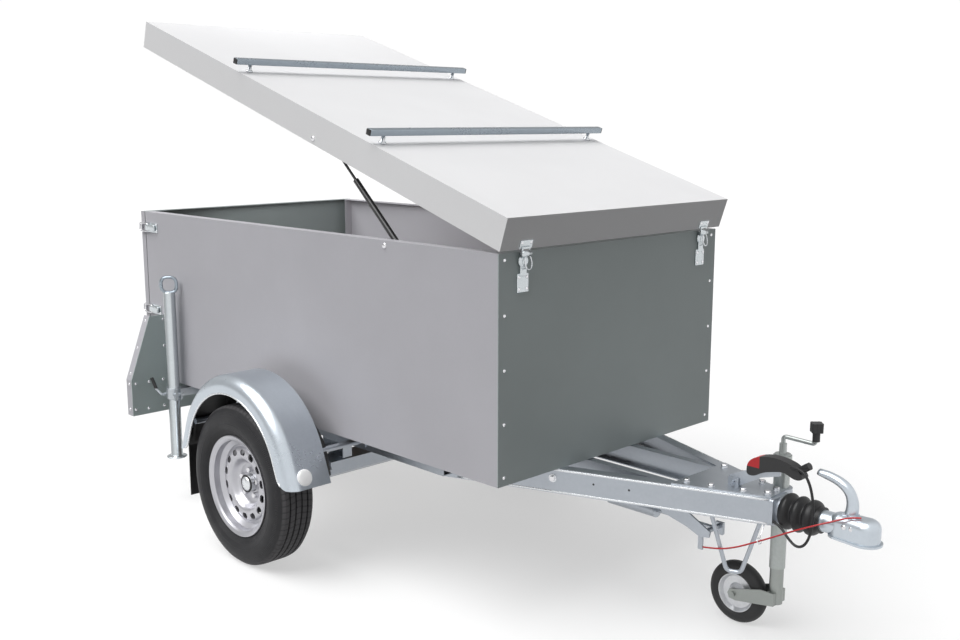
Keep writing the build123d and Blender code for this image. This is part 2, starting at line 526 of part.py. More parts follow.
with BuildPart() as draw_tube:
    rod((HOUSING_BACK + 10, 0, DRAW_Z), (TUBE_TIP, 0, DRAW_Z), DRAW_RADIUS)
    rod((HOUSING_BACK + 16, 0, DRAW_Z), (TUBE_TIP - 6, 0, DRAW_Z), DRAW_RADIUS - 6, mode=Mode.SUBTRACT)
draw_tube.part.label = "draw_tube"
export_step(draw_tube.part, "parts/draw_tube.step")

# Bellows: three round folds that shrink towards the coupling
FOLDS = 3
with BuildPart() as bellows:
    with BuildSketch(Plane(origin=(0, 0, DRAW_Z), x_dir=(1, 0, 0), z_dir=(0, -1, 0))):
        with BuildLine():
            pitch = (BELLOWS_END - 12 - NECK) / FOLDS
            skin = []
            for n in range(FOLDS):
                x = NECK + pitch * n
                skin += [(x, 40), (x + 0.25 * pitch, 51 - n), (x + 0.6 * pitch, 53 - n)]
            skin += [(BELLOWS_END - 12, 38)]
            Spline(*skin)
            Polyline((BELLOWS_END - 12, 38), (BELLOWS_END, 38), (BELLOWS_END, DRAW_RADIUS + FIT),
                     (NECK, DRAW_RADIUS + FIT), (NECK, 40))
        make_face()
    revolve(axis=Axis((0, 0, DRAW_Z), (1, 0, 0)))
bellows.part.label = "bellows"
export_step(bellows.part, "parts/bellows.step")

# Coupling head: a pressed shell over the ball, rounded on top, with a lip around its lower edge
NOSE = FRONT + COUPLING_REACH - BALL_X
HEAD_TOP = DRAW_Z + 38.0
HEAD_LOW = DRAW_Z - 32.0
with BuildPart() as coupling_head:
    with BuildSketch(Plane.XY.offset(HEAD_LOW)):
        with Locations((BALL_X, 0)):
            Circle(NOSE - 6)
        with Locations((BALL_X - 72, 0)):
            Circle(NOSE - 14)
        make_hull()
    extrude(amount=HEAD_TOP - HEAD_LOW)
    fillet(coupling_head.edges().group_by(Axis.Z)[-1], 26)
    with BuildSketch(Plane.XY.offset(HEAD_LOW)):
        with Locations((BALL_X, 0)):
            Circle(NOSE)
        with Locations((BALL_X - 72, 0)):
            Circle(NOSE - 10)
        make_hull()
    extrude(amount=6)
    rod((BELLOWS_END, 0, DRAW_Z), (BALL_X - 72, 0, DRAW_Z), DRAW_RADIUS + 6)
    block((BALL_X - 66, BALL_X - 28), (-13, 13), (DRAW_Z, HEAD_TOP + 4))
    with Locations((BALL_X, 0, DRAW_Z - 8)):
        Sphere(BALL_RADIUS, mode=Mode.SUBTRACT)
    rod((BALL_X, 0, 0), (BALL_X, 0, DRAW_Z - 8), BALL_RADIUS, mode=Mode.SUBTRACT)
    rod((BELLOWS_END, 0, DRAW_Z), (TUBE_TIP, 0, DRAW_Z), DRAW_RADIUS + FIT, mode=Mode.SUBTRACT)
coupling_head.part.label = "coupling_head"
export_step(coupling_head.part, "parts/coupling_head.step")

with BuildPart() as coupling_handle:
    with BuildSketch(Plane(origin=(BALL_X, 0, HEAD_TOP + 4), x_dir=(1, 0, 0), z_dir=(0, -1, 0))):
        with BuildLine():
            Line((-64, 0), (-30, 0))
            Spline((-30, 0), (-27, 40), (-48, 76), (-86, 98), (-148, 108))
            Line((-148, 108), (-151, 86))
            Spline((-151, 86), (-96, 72), (-68, 52), (-61, 24), (-64, 0))
        make_face()
    extrude(amount=15, both=True)
coupling_handle.part.label = "coupling_handle"
export_step(coupling_handle.part, "parts/coupling_handle.step")

# Handbrake: a flat arm on the drawbar plate, with a moulded grip over its end
GRIP_X, GRIP_Z = FRONT + 615.0, FLOOR_Z + 100.0
with BuildPart() as handbrake_lever:
    with BuildSketch(Plane(origin=(LEVER_X, LEVER_Y, PLATE_TOP), x_dir=(1, 0, 0), z_dir=(0, -1, 0))):
        with BuildLine():
            Polyline((-16, 1), (16, 1), (90, 44), (150, 62), (150, 76), (86, 76), (-16, 30), close=True)
        make_face()
    extrude(amount=4, both=True)
    rod((LEVER_X, LEVER_Y - 15, PLATE_TOP + 13), (LEVER_X, LEVER_Y + 15, PLATE_TOP + 13), 5)
handbrake_lever.part.label = "handbrake_lever"
export_step(handbrake_lever.part, "parts/handbrake_lever.step")

with BuildPart() as handbrake_grip:
    with BuildSketch(Plane(origin=(GRIP_X, LEVER_Y, GRIP_Z), x_dir=(1, 0, 0), z_dir=(0, -1, 0))):
        with BuildLine():
            Spline((-88, -38), (-76, 0), (-40, 17), (0, 22), (45, 16), (82, -4), (91, -20), (76, -27),
                   (36, -16), (0, -20),
                   (-42, -34), (-66, -46), periodic=True)
        make_face()
    extrude(amount=17, both=True)
    rod((GRIP_X + 58, LEVER_Y, GRIP_Z - 14), (GRIP_X + 104, LEVER_Y, GRIP_Z + 18), 11)
    block((GRIP_X - 120, GRIP_X + 16), (LEVER_Y - 4 - FIT, LEVER_Y + 4 + FIT),
          (PLATE_TOP, PLATE_TOP + 76 + FIT), mode=Mode.SUBTRACT)
handbrake_grip.part.label = "handbrake_grip"
export_step(handbrake_grip.part, "parts/handbrake_grip.step")

# Brake linkage under the drawbar
BRACKET_Y = -INNER_RAIL_Y + 20.0
SPRING_X = FRONT + 183.0
LINK_END = FRONT + 400.0
# the bracket turns down before it reaches the beam's lower flange
TURN_X = TIP_X - (6.26 - BRACKET_Y - TIP_Y + BEAM_FLANGE / cos(LEAN)) / BEAM_SLOPE - FRONT
with BuildPart() as brake_bracket:
    with BuildSketch(Plane(origin=(FRONT, BRACKET_Y, FLOOR_Z - BEAM_HIGH + BEAM_SHEET), x_dir=(1, 0, 0),
                           z_dir=(0, -1, 0))):
        with BuildLine():
            Polyline((TURN_X - 82, 0), (TURN_X, 0), (TURN_X + 8, -8), (TURN_X + 48, -8), (455, -52),
                     (452, -70), (420, -76), (370, -56), (TURN_X - 42, -34), close=True)
        make_face()
    extrude(amount=3, both=True)
    rod((LINK_END + 18, BRACKET_Y, LINK_Z + 12), (LINK_END + 18, 10, LINK_Z + 12), 8)
    block((LINK_END + 10, LINK_END + 26), (BRACKET_Y + 3, BRACKET_Y + 9), (LINK_Z - 36, LINK_Z + 20))
    block((LINK_END + 4, LINK_END + 32), (-6, 6), (LINK_Z - 14, LINK_Z + 24))
brake_bracket.part.label = "brake_bracket"
export_step(brake_bracket.part, "parts/brake_bracket.step")

with BuildPart() as brake_rod:
    rod((TORSION_X + 62, 0, LINK_Z), (SPRING_X - 190, 0, LINK_Z), 6)
    rod((SPRING_X, 0, LINK_Z), (LINK_END + 4, 0, LINK_Z), 6)
    rod((SPRING_X - 190, 0, LINK_Z), (SPRING_X, 0, LINK_Z), 24)
brake_rod.part.label = "brake_rod"
export_step(brake_rod.part, "parts/brake_rod.step")

# Bent wire rest under the right beam
with BuildPart() as wire_loop:
    bend = [(FRONT + x, -beam_y(FRONT + x) + 9, z) for x, z in
            ((452, FLOOR_Z - BEAM_HIGH), (498, LOOP_LOW), (538, LOOP_LOW), (584, FLOOR_Z - BEAM_HIGH))]
    with BuildLine() as wire:
        FilletPolyline(*bend, radius=19)
    with BuildSketch(Plane(origin=wire.wire() @ 0, z_dir=wire.wire() % 0)):
        Circle(6.5)
    sweep(path=wire.wire())
    block((FRONT + 400, FRONT + 640), (-200, 0), (FLOOR_Z - BEAM_HIGH, FLOOR_Z), mode=Mode.SUBTRACT)
wire_loop.part.label = "wire_loop"
export_step(wire_loop.part, "parts/wire_loop.step")

# Breakaway cable from the brake lever to the coupling, and light cable from the drawbar to the grip
CABLES = {
    "breakaway_cable": (2.5, [(427, -99, 306), (478, -96, 313), (532, -91, 332), (590, -84, 362),
                              (648, -84, 394), (706, -82, 427),
                              (764, -76, 457), (815, -52, 479), (850, -27, 493), (876, -14, 494)]),
    "light_cable": (4.0, [(625, -42, 424), (652, -48, 418), (682, -58, 394), (712, -62, 376),
                          (738, -62, 388), (754, -62, 426),
                          (758, -60, 476), (752, -56, 528), (735, -52, 574), (706, -46, 602),
                          (672, -43.2, 598)])}
for name, (radius, points) in CABLES.items():
    route = [(FRONT + x, y, z) for x, y, z in points]
    with BuildPart() as cable:
        with BuildLine() as lay:
            FilletPolyline(*route, radius=bends(route))
        with BuildSketch(Plane(origin=lay.wire() @ 0, z_dir=lay.wire() % 0)):
            Circle(radius)
        sweep(path=lay.wire())
    cable.part.label = name
    export_step(cable.part, f"parts/{name}.step")

# Jockey wheel
with BuildPart() as jockey_clamp:
    with BuildSketch(Plane.XY.offset(DRAW_Z - 30)):
        with BuildLine():
            Polyline((JOCKEY_X - 25, beam_y(JOCKEY_X - 25)), (JOCKEY_X + 25, beam_y(JOCKEY_X + 25)),
                     (JOCKEY_X + 25, JOCKEY_Y), (JOCKEY_X - 25, JOCKEY_Y), close=True)
        make_face()
    extrude(amount=50)
    rod((JOCKEY_X, JOCKEY_Y, DRAW_Z - 34), (JOCKEY_X, JOCKEY_Y, DRAW_Z + 24), TUBE_RADIUS + 10)
    rod((JOCKEY_X, JOCKEY_Y, 0), (JOCKEY_X, JOCKEY_Y, WALL_TOP), TUBE_RADIUS, mode=Mode.SUBTRACT)
jockey_clamp.part.label = "jockey_clamp"
export_step(jockey_clamp.part, "parts/jockey_clamp.step")

JOCKEY_TOP = DRAW_Z + 128.0
JOCKEY_LOW = 220.0
LEG_RADIUS = TUBE_RADIUS - 3.0
with BuildPart() as jockey_tube:
    rod((JOCKEY_X, JOCKEY_Y, JOCKEY_LOW), (JOCKEY_X, JOCKEY_Y, JOCKEY_TOP), TUBE_RADIUS)
    rod((JOCKEY_X, JOCKEY_Y, JOCKEY_TOP - 22), (JOCKEY_X, JOCKEY_Y, JOCKEY_TOP - 4), TUBE_RADIUS + 4)
    rod((JOCKEY_X, JOCKEY_Y, JOCKEY_LOW), (JOCKEY_X, JOCKEY_Y, JOCKEY_TOP - 30), LEG_RADIUS + FIT,
        mode=Mode.SUBTRACT)
    rod((JOCKEY_X, JOCKEY_Y, JOCKEY_TOP), (JOCKEY_X, JOCKEY_Y, JOCKEY_TOP + 32), 11)
    with BuildLine() as crank:
        FilletPolyline((JOCKEY_X, JOCKEY_Y, JOCKEY_TOP + 20), (JOCKEY_X, JOCKEY_Y, JOCKEY_TOP + 54),
                       (JOCKEY_X + 104, JOCKEY_Y, JOCKEY_TOP + 51),
                       (JOCKEY_X + 106, JOCKEY_Y, JOCKEY_TOP + 80), radius=10)
    with BuildSketch(Plane(origin=crank.wire() @ 0, z_dir=crank.wire() % 0)):
        Circle(6.5)
    sweep(path=crank.wire())
    rod((JOCKEY_X + 106, JOCKEY_Y, JOCKEY_TOP + 60), (JOCKEY_X + 106, JOCKEY_Y, JOCKEY_TOP + 88), 11)
    with BuildSketch(Plane.XY.offset(JOCKEY_TOP + 88)):
        with Locations((JOCKEY_X + 106, JOCKEY_Y)):
            Circle(16)
            with PolarLocations(14, 4):
                Circle(7)
    extrude(amount=28)
jockey_tube.part.label = "jockey_tube"
export_step(jockey_tube.part, "parts/jockey_tube.step")

LEG_TOP = JOCKEY_TOP - 110.0
with BuildPart() as jockey_nut:
    rod((JOCKEY_X, JOCKEY_Y, LEG_TOP + FIT), (JOCKEY_X, JOCKEY_Y, LEG_TOP + 16), LEG_RADIUS)
jockey_nut.part.label = "jockey_nut"
export_step(jockey_nut.part, "parts/jockey_nut.step")

WHEEL_X = JOCKEY_X - JOCKEY_TRAIL
with BuildPart() as jockey_fork:
    rod((JOCKEY_X, JOCKEY_Y, JOCKEY_RADIUS + 4), (JOCKEY_X, JOCKEY_Y, LEG_TOP), LEG_RADIUS)
    rod((JOCKEY_X, JOCKEY_Y, 0), (JOCKEY_X, JOCKEY_Y, LEG_TOP - 5), LEG_RADIUS - 3, mode=Mode.SUBTRACT)
    for s in (-1, 1):
        with BuildSketch(Plane(origin=(0, JOCKEY_Y + s * 32, 0), x_dir=(1, 0, 0), z_dir=(0, -1, 0))):
            with BuildLine():
                Polyline((JOCKEY_X + 12, JOCKEY_RADIUS + 4), (JOCKEY_X + 12, JOCKEY_RADIUS + 44),
                         (JOCKEY_X - 36, JOCKEY_RADIUS + 44), (WHEEL_X + 10, JOCKEY_RADIUS + 20),
                         (WHEEL_X - 14, JOCKEY_RADIUS + 14),
                         (WHEEL_X - 20, JOCKEY_RADIUS), (WHEEL_X - 14, JOCKEY_RADIUS - 15),
                         (WHEEL_X + 10, JOCKEY_RADIUS - 18), close=True)
            make_face()
        extrude(amount=2, both=True)
    with Locations((JOCKEY_X, JOCKEY_Y, JOCKEY_RADIUS + 24)):
        Box(24, 68, 40)
    rod((JOCKEY_X, JOCKEY_Y, 0), (JOCKEY_X, JOCKEY_Y, JOCKEY_RADIUS + 60), LEG_RADIUS - 3,
        mode=Mode.SUBTRACT)
    rod((WHEEL_X, JOCKEY_Y - 40, JOCKEY_RADIUS), (WHEEL_X, JOCKEY_Y + 40, JOCKEY_RADIUS), 8)
jockey_fork.part.label = "jockey_fork"
export_step(jockey_fork.part, "parts/jockey_fork.step")

with BuildPart() as jockey_wheel:
    with BuildSketch(Plane(origin=(WHEEL_X, JOCKEY_Y, JOCKEY_RADIUS), x_dir=(0, 1, 0), z_dir=(1, 0, 0))):
        with BuildLine():
            half = 25.0
            Polyline((half, 8 + FIT), (half, 20), (8, 30), (8, 52), (20, 60), (half - 4, 64))
            Spline((half - 4, 64), (half, 80), (14, JOCKEY_RADIUS - 4), (0, JOCKEY_RADIUS),
                   (-14, JOCKEY_RADIUS - 4), (-half, 80),
                   (4 - half, 64))
            Polyline((4 - half, 64), (-20, 60), (-8, 52), (-8, 30), (-half, 20), (-half, 8 + FIT),
                     (half, 8 + FIT))
        make_face()
    revolve(axis=Axis((WHEEL_X, JOCKEY_Y, JOCKEY_RADIUS), (0, 1, 0)))
jockey_wheel.part.label = "jockey_wheel"
export_step(jockey_wheel.part, "parts/jockey_wheel.step")

# Lid, its front hooks and roof bars
LID_HALF = HALF + LID_OVER
HOOK_U, HOOK_D = HINGE_X - FRONT - LID_OVER, HINGE_Z - WALL_TOP - LID_GAP
with BuildPart() as lid_shell:
    lid_block((-LID_LENGTH, 0), (-LID_HALF, LID_HALF), (0, LID_DEEP))
    lid_block((LID_SHEET - LID_LENGTH, -LID_SHEET), (LID_SHEET - LID_HALF, LID_HALF - LID_SHEET),
              (-1, LID_DEEP - LID_SHEET),
              mode=Mode.SUBTRACT)
    for s in (-1, 1):
        lid_block((0, 3), (s * LATCH_Y - 20, s * LATCH_Y + 20), (1, 26))
        lid_block((0, HOOK_U), (s * LATCH_Y - 12, s * LATCH_Y + 12), (HOOK_D + 2, 4))
        rod((HINGE_X, s * LATCH_Y - 12, HINGE_Z), (HINGE_X, s * LATCH_Y + 12, HINGE_Z), 8)
        rod((HINGE_X, s * LATCH_Y - 13, HINGE_Z), (HINGE_X, s * LATCH_Y + 13, HINGE_Z), 4 + FIT,
            mode=Mode.SUBTRACT)
lid_shell.part.label = "lid_shell"
export_step(lid_shell.part, "parts/lid_shell.step")

for name, u in (("roof_bar_front", -640.0), ("roof_bar_rear", 694.0 - LID_LENGTH)):
    with BuildPart() as roof_bar:
        lid_block((u - 15, u + 15), (-BAR_REACH, BAR_REACH), (LID_DEEP + 26, LID_DEEP + 48))
        lid_block((u - 12, u + 12), (-BAR_REACH + 3, BAR_REACH - 3), (LID_DEEP + 29, LID_DEEP + 45),
                  mode=Mode.SUBTRACT)
        for s in (-1, 1):
            y = s * (HALF - 41.5)
            rod(on_lid(u, y, LID_DEEP), on_lid(u, y, LID_DEEP + 26), 10)
    roof_bar.part.label = name
    export_step(roof_bar.part, f"parts/{name}.step")

# Front toggle latches that hold the lid's front edge, and gas struts
STRUT_TOP = on_lid(STRUT_ON_LID[0], 0, STRUT_ON_LID[1])
lean = Vector(STRUT_TOP[0] - STRUT_X, 0, STRUT_TOP[2] - STRUT_Z)
reach = lean.length
way = lean / reach


def along(k, y):
    """Point of a strut, k from its lower eye."""
    return (STRUT_X + way.X * k, y, STRUT_Z + way.Z * k)


for side, s in SIDES:
    with BuildPart() as front_latch:
        block((FRONT, FRONT + 3), (s * LATCH_Y - 25, s * LATCH_Y + 25), (WALL_TOP - 121, WALL_TOP - 57))
        block((FRONT, FRONT + 14), (s * LATCH_Y - 16, s * LATCH_Y + 16), (WALL_TOP - 108, WALL_TOP - 64))
        for k in (-1, 1):
            rod((FRONT + 10, s * LATCH_Y + k * 18, WALL_TOP - 72),
                (HINGE_X, s * LATCH_Y + k * 18, HINGE_Z), 4)
            with Locations((HINGE_X, s * LATCH_Y + k * 18, HINGE_Z)):
                Sphere(4)
        rod((FRONT + 10, s * LATCH_Y - 18, WALL_TOP - 72), (FRONT + 10, s * LATCH_Y + 18, WALL_TOP - 72),
            4)
        rod((HINGE_X, s * LATCH_Y - 18, HINGE_Z), (HINGE_X, s * LATCH_Y + 18, HINGE_Z), 4)
    front_latch.part.label = f"front_latch_{side}"
    export_step(front_latch.part, f"parts/front_latch_{side}.step")

    y = s * STRUT_Y
    with BuildPart() as strut_cylinder:
        rod((STRUT_X, y - 7, STRUT_Z), (STRUT_X, y + 7, STRUT_Z), 9)
        rod(along(6, y), along(CYLINDER, y), 10)
        rod((STRUT_X, y - 12, STRUT_Z), (STRUT_X, y + 12, STRUT_Z), 5 + FIT, mode=Mode.SUBTRACT)
        rod(along(30, y), along(CYLINDER + 5, y), 4.5 + FIT, mode=Mode.SUBTRACT)
    strut_cylinder.part.label = f"strut_cylinder_{side}"
    export_step(strut_cylinder.part, f"parts/strut_cylinder_{side}.step")

    with BuildPart() as strut_rod:
        rod(along(CYLINDER - 90, y), along(reach, y), 4.5)
        rod(along(reach, y - s * 8), along(reach, s * (LID_HALF - LID_SHEET - FIT)), 6)
    strut_rod.part.label = f"strut_rod_{side}"
    export_step(strut_rod.part, f"parts/strut_rod_{side}.step")

with BuildPart() as tailgate:
    block((REAR, WALL_REAR - 5), (-HALF, HALF), (FLOOR_Z, WALL_TOP))
    block((REAR + SHEET, WALL_REAR), (SHEET - HALF, HALF - SHEET), (FLOOR_Z + SHEET, WALL_TOP - SHEET),
          mode=Mode.SUBTRACT)
    for s in (-1, 1):
        block((GATE_HINGE_X - 10, GATE_HINGE_X + 10), (s * GATE_HINGE_Y - 20, s * GATE_HINGE_Y + 20),
              (GATE_HINGE_Z, FLOOR_Z))
        rod((GATE_HINGE_X, s * GATE_HINGE_Y - 20, GATE_HINGE_Z),
            (GATE_HINGE_X, s * GATE_HINGE_Y + 20, GATE_HINGE_Z), 10)
        rod((GATE_HINGE_X, s * GATE_HINGE_Y - 40, GATE_HINGE_Z),
            (GATE_HINGE_X, s * GATE_HINGE_Y + 40, GATE_HINGE_Z), 5 + FIT,
            mode=Mode.SUBTRACT)
tailgate.part.label = "tailgate"
export_step(tailgate.part, "parts/tailgate.step")
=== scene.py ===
"""Looks of a single-axle box trailer with a hinged lid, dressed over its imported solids.
Lengths are metres, +X points to the coupling, +Y to the trailer's left, and the ground is z = 0."""
import json
import math

import bmesh
import bpy
import numpy as np
from mathutils import Matrix, Vector


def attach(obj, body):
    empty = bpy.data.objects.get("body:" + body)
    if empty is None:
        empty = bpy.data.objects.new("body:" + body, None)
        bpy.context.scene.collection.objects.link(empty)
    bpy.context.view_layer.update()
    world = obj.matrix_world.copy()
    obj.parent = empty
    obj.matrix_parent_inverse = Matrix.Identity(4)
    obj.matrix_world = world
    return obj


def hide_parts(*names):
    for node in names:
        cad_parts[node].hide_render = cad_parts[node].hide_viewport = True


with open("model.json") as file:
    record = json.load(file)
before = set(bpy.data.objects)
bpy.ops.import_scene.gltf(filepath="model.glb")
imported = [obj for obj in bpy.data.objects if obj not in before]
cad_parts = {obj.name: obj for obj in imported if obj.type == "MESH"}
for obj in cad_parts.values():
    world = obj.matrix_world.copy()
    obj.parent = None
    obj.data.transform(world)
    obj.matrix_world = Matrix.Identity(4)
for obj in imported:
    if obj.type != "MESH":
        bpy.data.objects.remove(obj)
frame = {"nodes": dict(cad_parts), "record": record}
NODES = frame["nodes"]
SLOT_OF = {row["node"]: row["material_slot"] for row in frame["record"]["subparts"]}
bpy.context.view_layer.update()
PI = math.pi
SIDES = (("right", -1), ("left", 1))
AHEAD, UP = (1, 0, 0), (0, 0, 1)

# where the solids are that the scene's own pieces sit on: axles and hinge as (x, z), the lid's front lower
# edge as its distances behind and above the hinge, the beams' outward direction as (x, y)
AXLE = (-0.478, 0.289)
WHEEL_Y, HUB_FACE = 0.708, 0.712
JOCKEY_AXLE = (1.022, 0.100)
BOX_FRONT, BOX_REAR, BOX_HALF = 0.597, -1.528, 0.5415
WALL_LOW, WALL_TOP = 0.490, 1.188
LID_HINGE, LID_TILT = (0.612, 1.183), math.radians(18)
LID_EDGE = (0.009, 0.0105)
BOARD_FACE, BOARD_FLANGE = -1.348, -1.372
ARCH_MIDDLE, ARCH_END = AXLE[1] + 0.049, math.radians(22)
BEAM_END, BEAM_TIP, BEAM_SLOPE = 0.612, 0.045, 0.375817
BEAM_OUT = (0.3518, 0.9361)

# colours and shares of metal that more than one finish uses
SIDE_GREY = (0.505, 0.50, 0.535)
DEEP_BLACK = (0.020, 0.020, 0.021)
KNOB_BLACK = (0.018, 0.018, 0.019)
BRIGHT_RED = (0.50, 0.015, 0.02)
WHITE = (1.0, 1.0, 1.0, 1.0)
METAL, DULL = 0.85, 0.0

# a finish and the record's slot that it stands in
BRIGHT = ("bright_steel", "bright_steel")
DRAWN = ("drawn_zinc", "bright_steel")
ROLLED = ("rolled_edge", "bright_steel")
BEADED = ("rolled_edge", "galvanised")
BLACK = ("black_plastic", "black_plastic")
SEAL = ("black_rubber", "black_rubber")
CLEAR = ("clear_reflector", "bright_steel")

# camera, room and lights
EYE, YAW, PITCH = (2.8063, -2.76096, 1.56343), math.radians(135.84), math.radians(-10.25)
SENSOR, LENS = 36.0, 41.40
FLOOR_REACH, FLOOR_DROP, FLOOR_GLOW = 60, 0.0005, 0.52
ROOM_LIGHT, BACKDROP = 0.215, 0.80
GLOSS_REAR, GLOSS_FRONT, GLOSS_TURN = 0.30, 0.85, 0.6
SUN_SPREAD = math.radians(55)
SUNS = (("sun", (-0.15, -0.50, 0.853), 3.1), ("back_light", (-0.72, 0.66, 0.22), 1.1))
LAMPS = (("fill", (-0.95, -0.20, 1.46), (-0.85, 0.50, 0.90), 0.6, 3.8),
         ("top_light", (-1.75, 0.10, 2.45), (-1.20, 0.05, 1.80), 0.8, 1.9))
LAMP_TRIM = 0.1

FINISHES = {}


class Value:
    """A shader socket that can stand in sums, differences and products."""

    def __init__(self, nodes, socket):
        self.nodes, self.socket = nodes, socket

    def join(self, operation, *inputs):
        """One Math node on these inputs."""
        return self.nodes.node("ShaderNodeMath", {"operation": operation}, dict(enumerate(inputs)))

    def __add__(self, other):
        return self.join("ADD", self, other)

    def __radd__(self, other):
        return self.join("ADD", other, self)

    def __sub__(self, other):
        return self.join("SUBTRACT", self, other)

    def __rsub__(self, other):
        return self.join("SUBTRACT", other, self)

    def __mul__(self, other):
        return self.join("MULTIPLY", self, other)

    def __rmul__(self, other):
        return self.join("MULTIPLY", other, self)

    def wave(self):
        return self.join("SINE", self)

    def size(self):
        return self.join("ABSOLUTE", self)

    def root(self):
        return self.join("SQRT", self)

    def angle(self, other):
        """Angle of the point (other, self) around the origin."""
        return self.join("ARCTAN2", self, other)

    def step(self, low, high):
        """0 below low, 1 above high, smooth between them."""
        return self.nodes.node("ShaderNodeMapRange", {"interpolation_type": "SMOOTHSTEP"},
                               {"Value": self, "From Min": low, "From Max": high})

    def between(self, lower, upper):
        """1 between two soft edges, each a pair for step, and 0 outside them."""
        return self.step(*lower) * (1 - self.step(*upper))


class Nodes:
    """A tree of nodes and the one method that adds to it."""

    def __init__(self, tree):
        self.tree = tree

    def node(self, kind, settings=None, sockets=None, output=0):
        """Adds a node, sets its settings, then its sockets by value or link, and returns one output."""
        added = self.tree.nodes.new(kind)
        for key, value in (settings or {}).items():
            setattr(added, key, value)
        for key, value in (sockets or {}).items():
            if isinstance(value, Value):
                self.tree.links.new(value.socket, added.inputs[key])
            else:
                added.inputs[key].default_value = value
        return Value(self, added.outputs[output])


class Finish(Nodes):
    """One material: a Principled shader with constant sockets set at once and varying ones fed later."""

    def __init__(self, name, **constants):
        FINISHES[name] = material = bpy.data.materials.new(name)
        material.use_nodes = True
        super().__init__(material.node_tree)
        self.shader = self.tree.nodes["Principled BSDF"]
        for key, value in constants.items():
            self.shader.inputs[key.replace("_", " ").title().replace("Ior", "IOR")].default_value = value

    def feed(self, socket, value):
        self.tree.links.new(value.socket, self.shader.inputs[socket])

    def place(self, scale=(1, 1, 1), middle=(0, 0, 0)):
        """Object coordinates measured from a middle point, stretched along the axes."""
        at = self.node("ShaderNodeTexCoord", output="Object")
        off = self.node("ShaderNodeVectorMath", {"operation": "SUBTRACT"}, {0: at, 1: middle})
        return self.node("ShaderNodeVectorMath", {"operation": "MULTIPLY"}, {0: off, 1: scale})

    def axes(self, middle=(0, 0, 0)):
        """The x, y and z of a point measured from a middle point."""
        at = self.place(middle=middle)
        return [self.node("ShaderNodeSeparateXYZ", {}, {0: at}, output=k) for k in range(3)]

    def noise(self, scale, detail=3.0, rough=0.55, stretch=(1, 1, 1)):
        return self.node("ShaderNodeTexNoise", {}, {"Vector": self.place(stretch), "Scale": scale,
                                                    "Detail": detail, "Roughness": rough})

    def cells(self, scale):
        """A random value for each cell of a crystal pattern."""
        colour = self.node("ShaderNodeTexVoronoi", {}, {"Vector": self.place(), "Scale": scale}, "Color")
        return self.node("ShaderNodeSeparateColor", {}, {0: colour})

    def mix(self, factor, low, high):
        """Colour that goes from low to high."""
        pair = [c if isinstance(c, Value) else (*c, 1.0) for c in (low, high)]
        return self.node("ShaderNodeMix", {"data_type": "RGBA"}, {0: factor, 6: pair[0], 7: pair[1]}, 2)

    def bump(self, height, strength, distance):
        self.feed("Normal", self.node("ShaderNodeBump", {}, {"Height": height, "Strength": strength,
                                                             "Distance": distance}))


def tones(colour, low, high):
    """A darker and a lighter tone of one colour."""
    return [low * c for c in colour], [min(1.0, high * c) for c in colour]


def zinc(name, light, dark, rough, grain, skin=0.03):
    """Hot-dip zinc: faint crystal flakes, a soft cloud and drawn streaks
    set the tone between dark and light."""
    finish = Finish(name, metallic=METAL)
    flakes = finish.cells(grain)
    cloud = finish.noise(scale=5.0)
    streak = finish.noise(scale=40.0, detail=2.0, rough=0.5, stretch=(0.15, 1, 1))
    finish.feed("Base Color", finish.mix(0.18 * flakes + 0.45 * cloud + 0.37 * streak, dark, light))
    finish.feed("Roughness", rough - 0.05 + 0.08 * cloud + 0.04 * flakes)
    if skin:
        finish.bump(finish.noise(scale=160.0, detail=2.0), skin, 0.0004)


def coated_panel(name, colour, rough=0.45, speckle=0.035, edge=None, shine=0.4):
    """Coated sheet: an even colour with a faint cloud and a fine orange-peel skin.
    Where an edge mask is 1, it shows the grey of the side walls."""
    finish = Finish(name, specular_ior_level=shine)
    cloud = finish.noise(scale=3.0, detail=4.0)
    grain = finish.noise(scale=350.0, detail=2.0)
    shade = 0.7 * cloud + 0.3 * grain

    def clouded(tone):
        return finish.mix(shade.step(0.3, 0.7), *tones(tone, 1 - speckle, 1 + speckle))

    skin = clouded(colour)
    finish.feed("Base Color", finish.mix(edge(finish), skin, clouded(SIDE_GREY)) if edge else skin)
    finish.feed("Roughness", rough - 0.04 + 0.08 * cloud)
    finish.bump(grain, 0.05, 0.0006)


def rubber(name, colour, rough):
    """Dull rubber with dust in its grain."""
    finish = Finish(name, specular_ior_level=0.35)
    grain = finish.noise(scale=260.0)
    dust = finish.noise(scale=9.0, detail=4.0)
    finish.feed("Base Color", finish.mix(dust.step(0.45, 0.8), colour, [1.7 * c + 0.006 for c in colour]))
    finish.feed("Roughness", rough - 0.06 + 0.12 * grain)
    finish.bump(grain, 0.12, 0.0008)


def moulded(name, colour, rough, coat=0.0, glow=0.0):
    """Moulded plastic or enamel with a fine skin.
    A little glow stands for the light that a reflector throws back."""
    finish = Finish(name, specular_ior_level=0.5, coat_weight=coat, emission_color=WHITE,
                    emission_strength=glow)
    grain = finish.noise(scale=420.0, detail=2.0)
    cloud = finish.noise(scale=12.0)
    finish.feed("Base Color", finish.mix(cloud, *tones(colour, 0.92, 1.08)))
    finish.feed("Roughness", rough - 0.05 + 0.10 * grain)
    finish.bump(grain, 0.05, 0.0004)


def steel(name, colour, rough):
    """Bare or plated steel with fine scratches."""
    finish = Finish(name, metallic=1.0)
    lines = finish.noise(scale=90.0, rough=0.6, stretch=(1, 1, 6))
    finish.feed("Base Color", finish.mix(lines, [0.9 * c for c in colour], colour))
    finish.feed("Roughness", rough - 0.05 + 0.12 * lines)


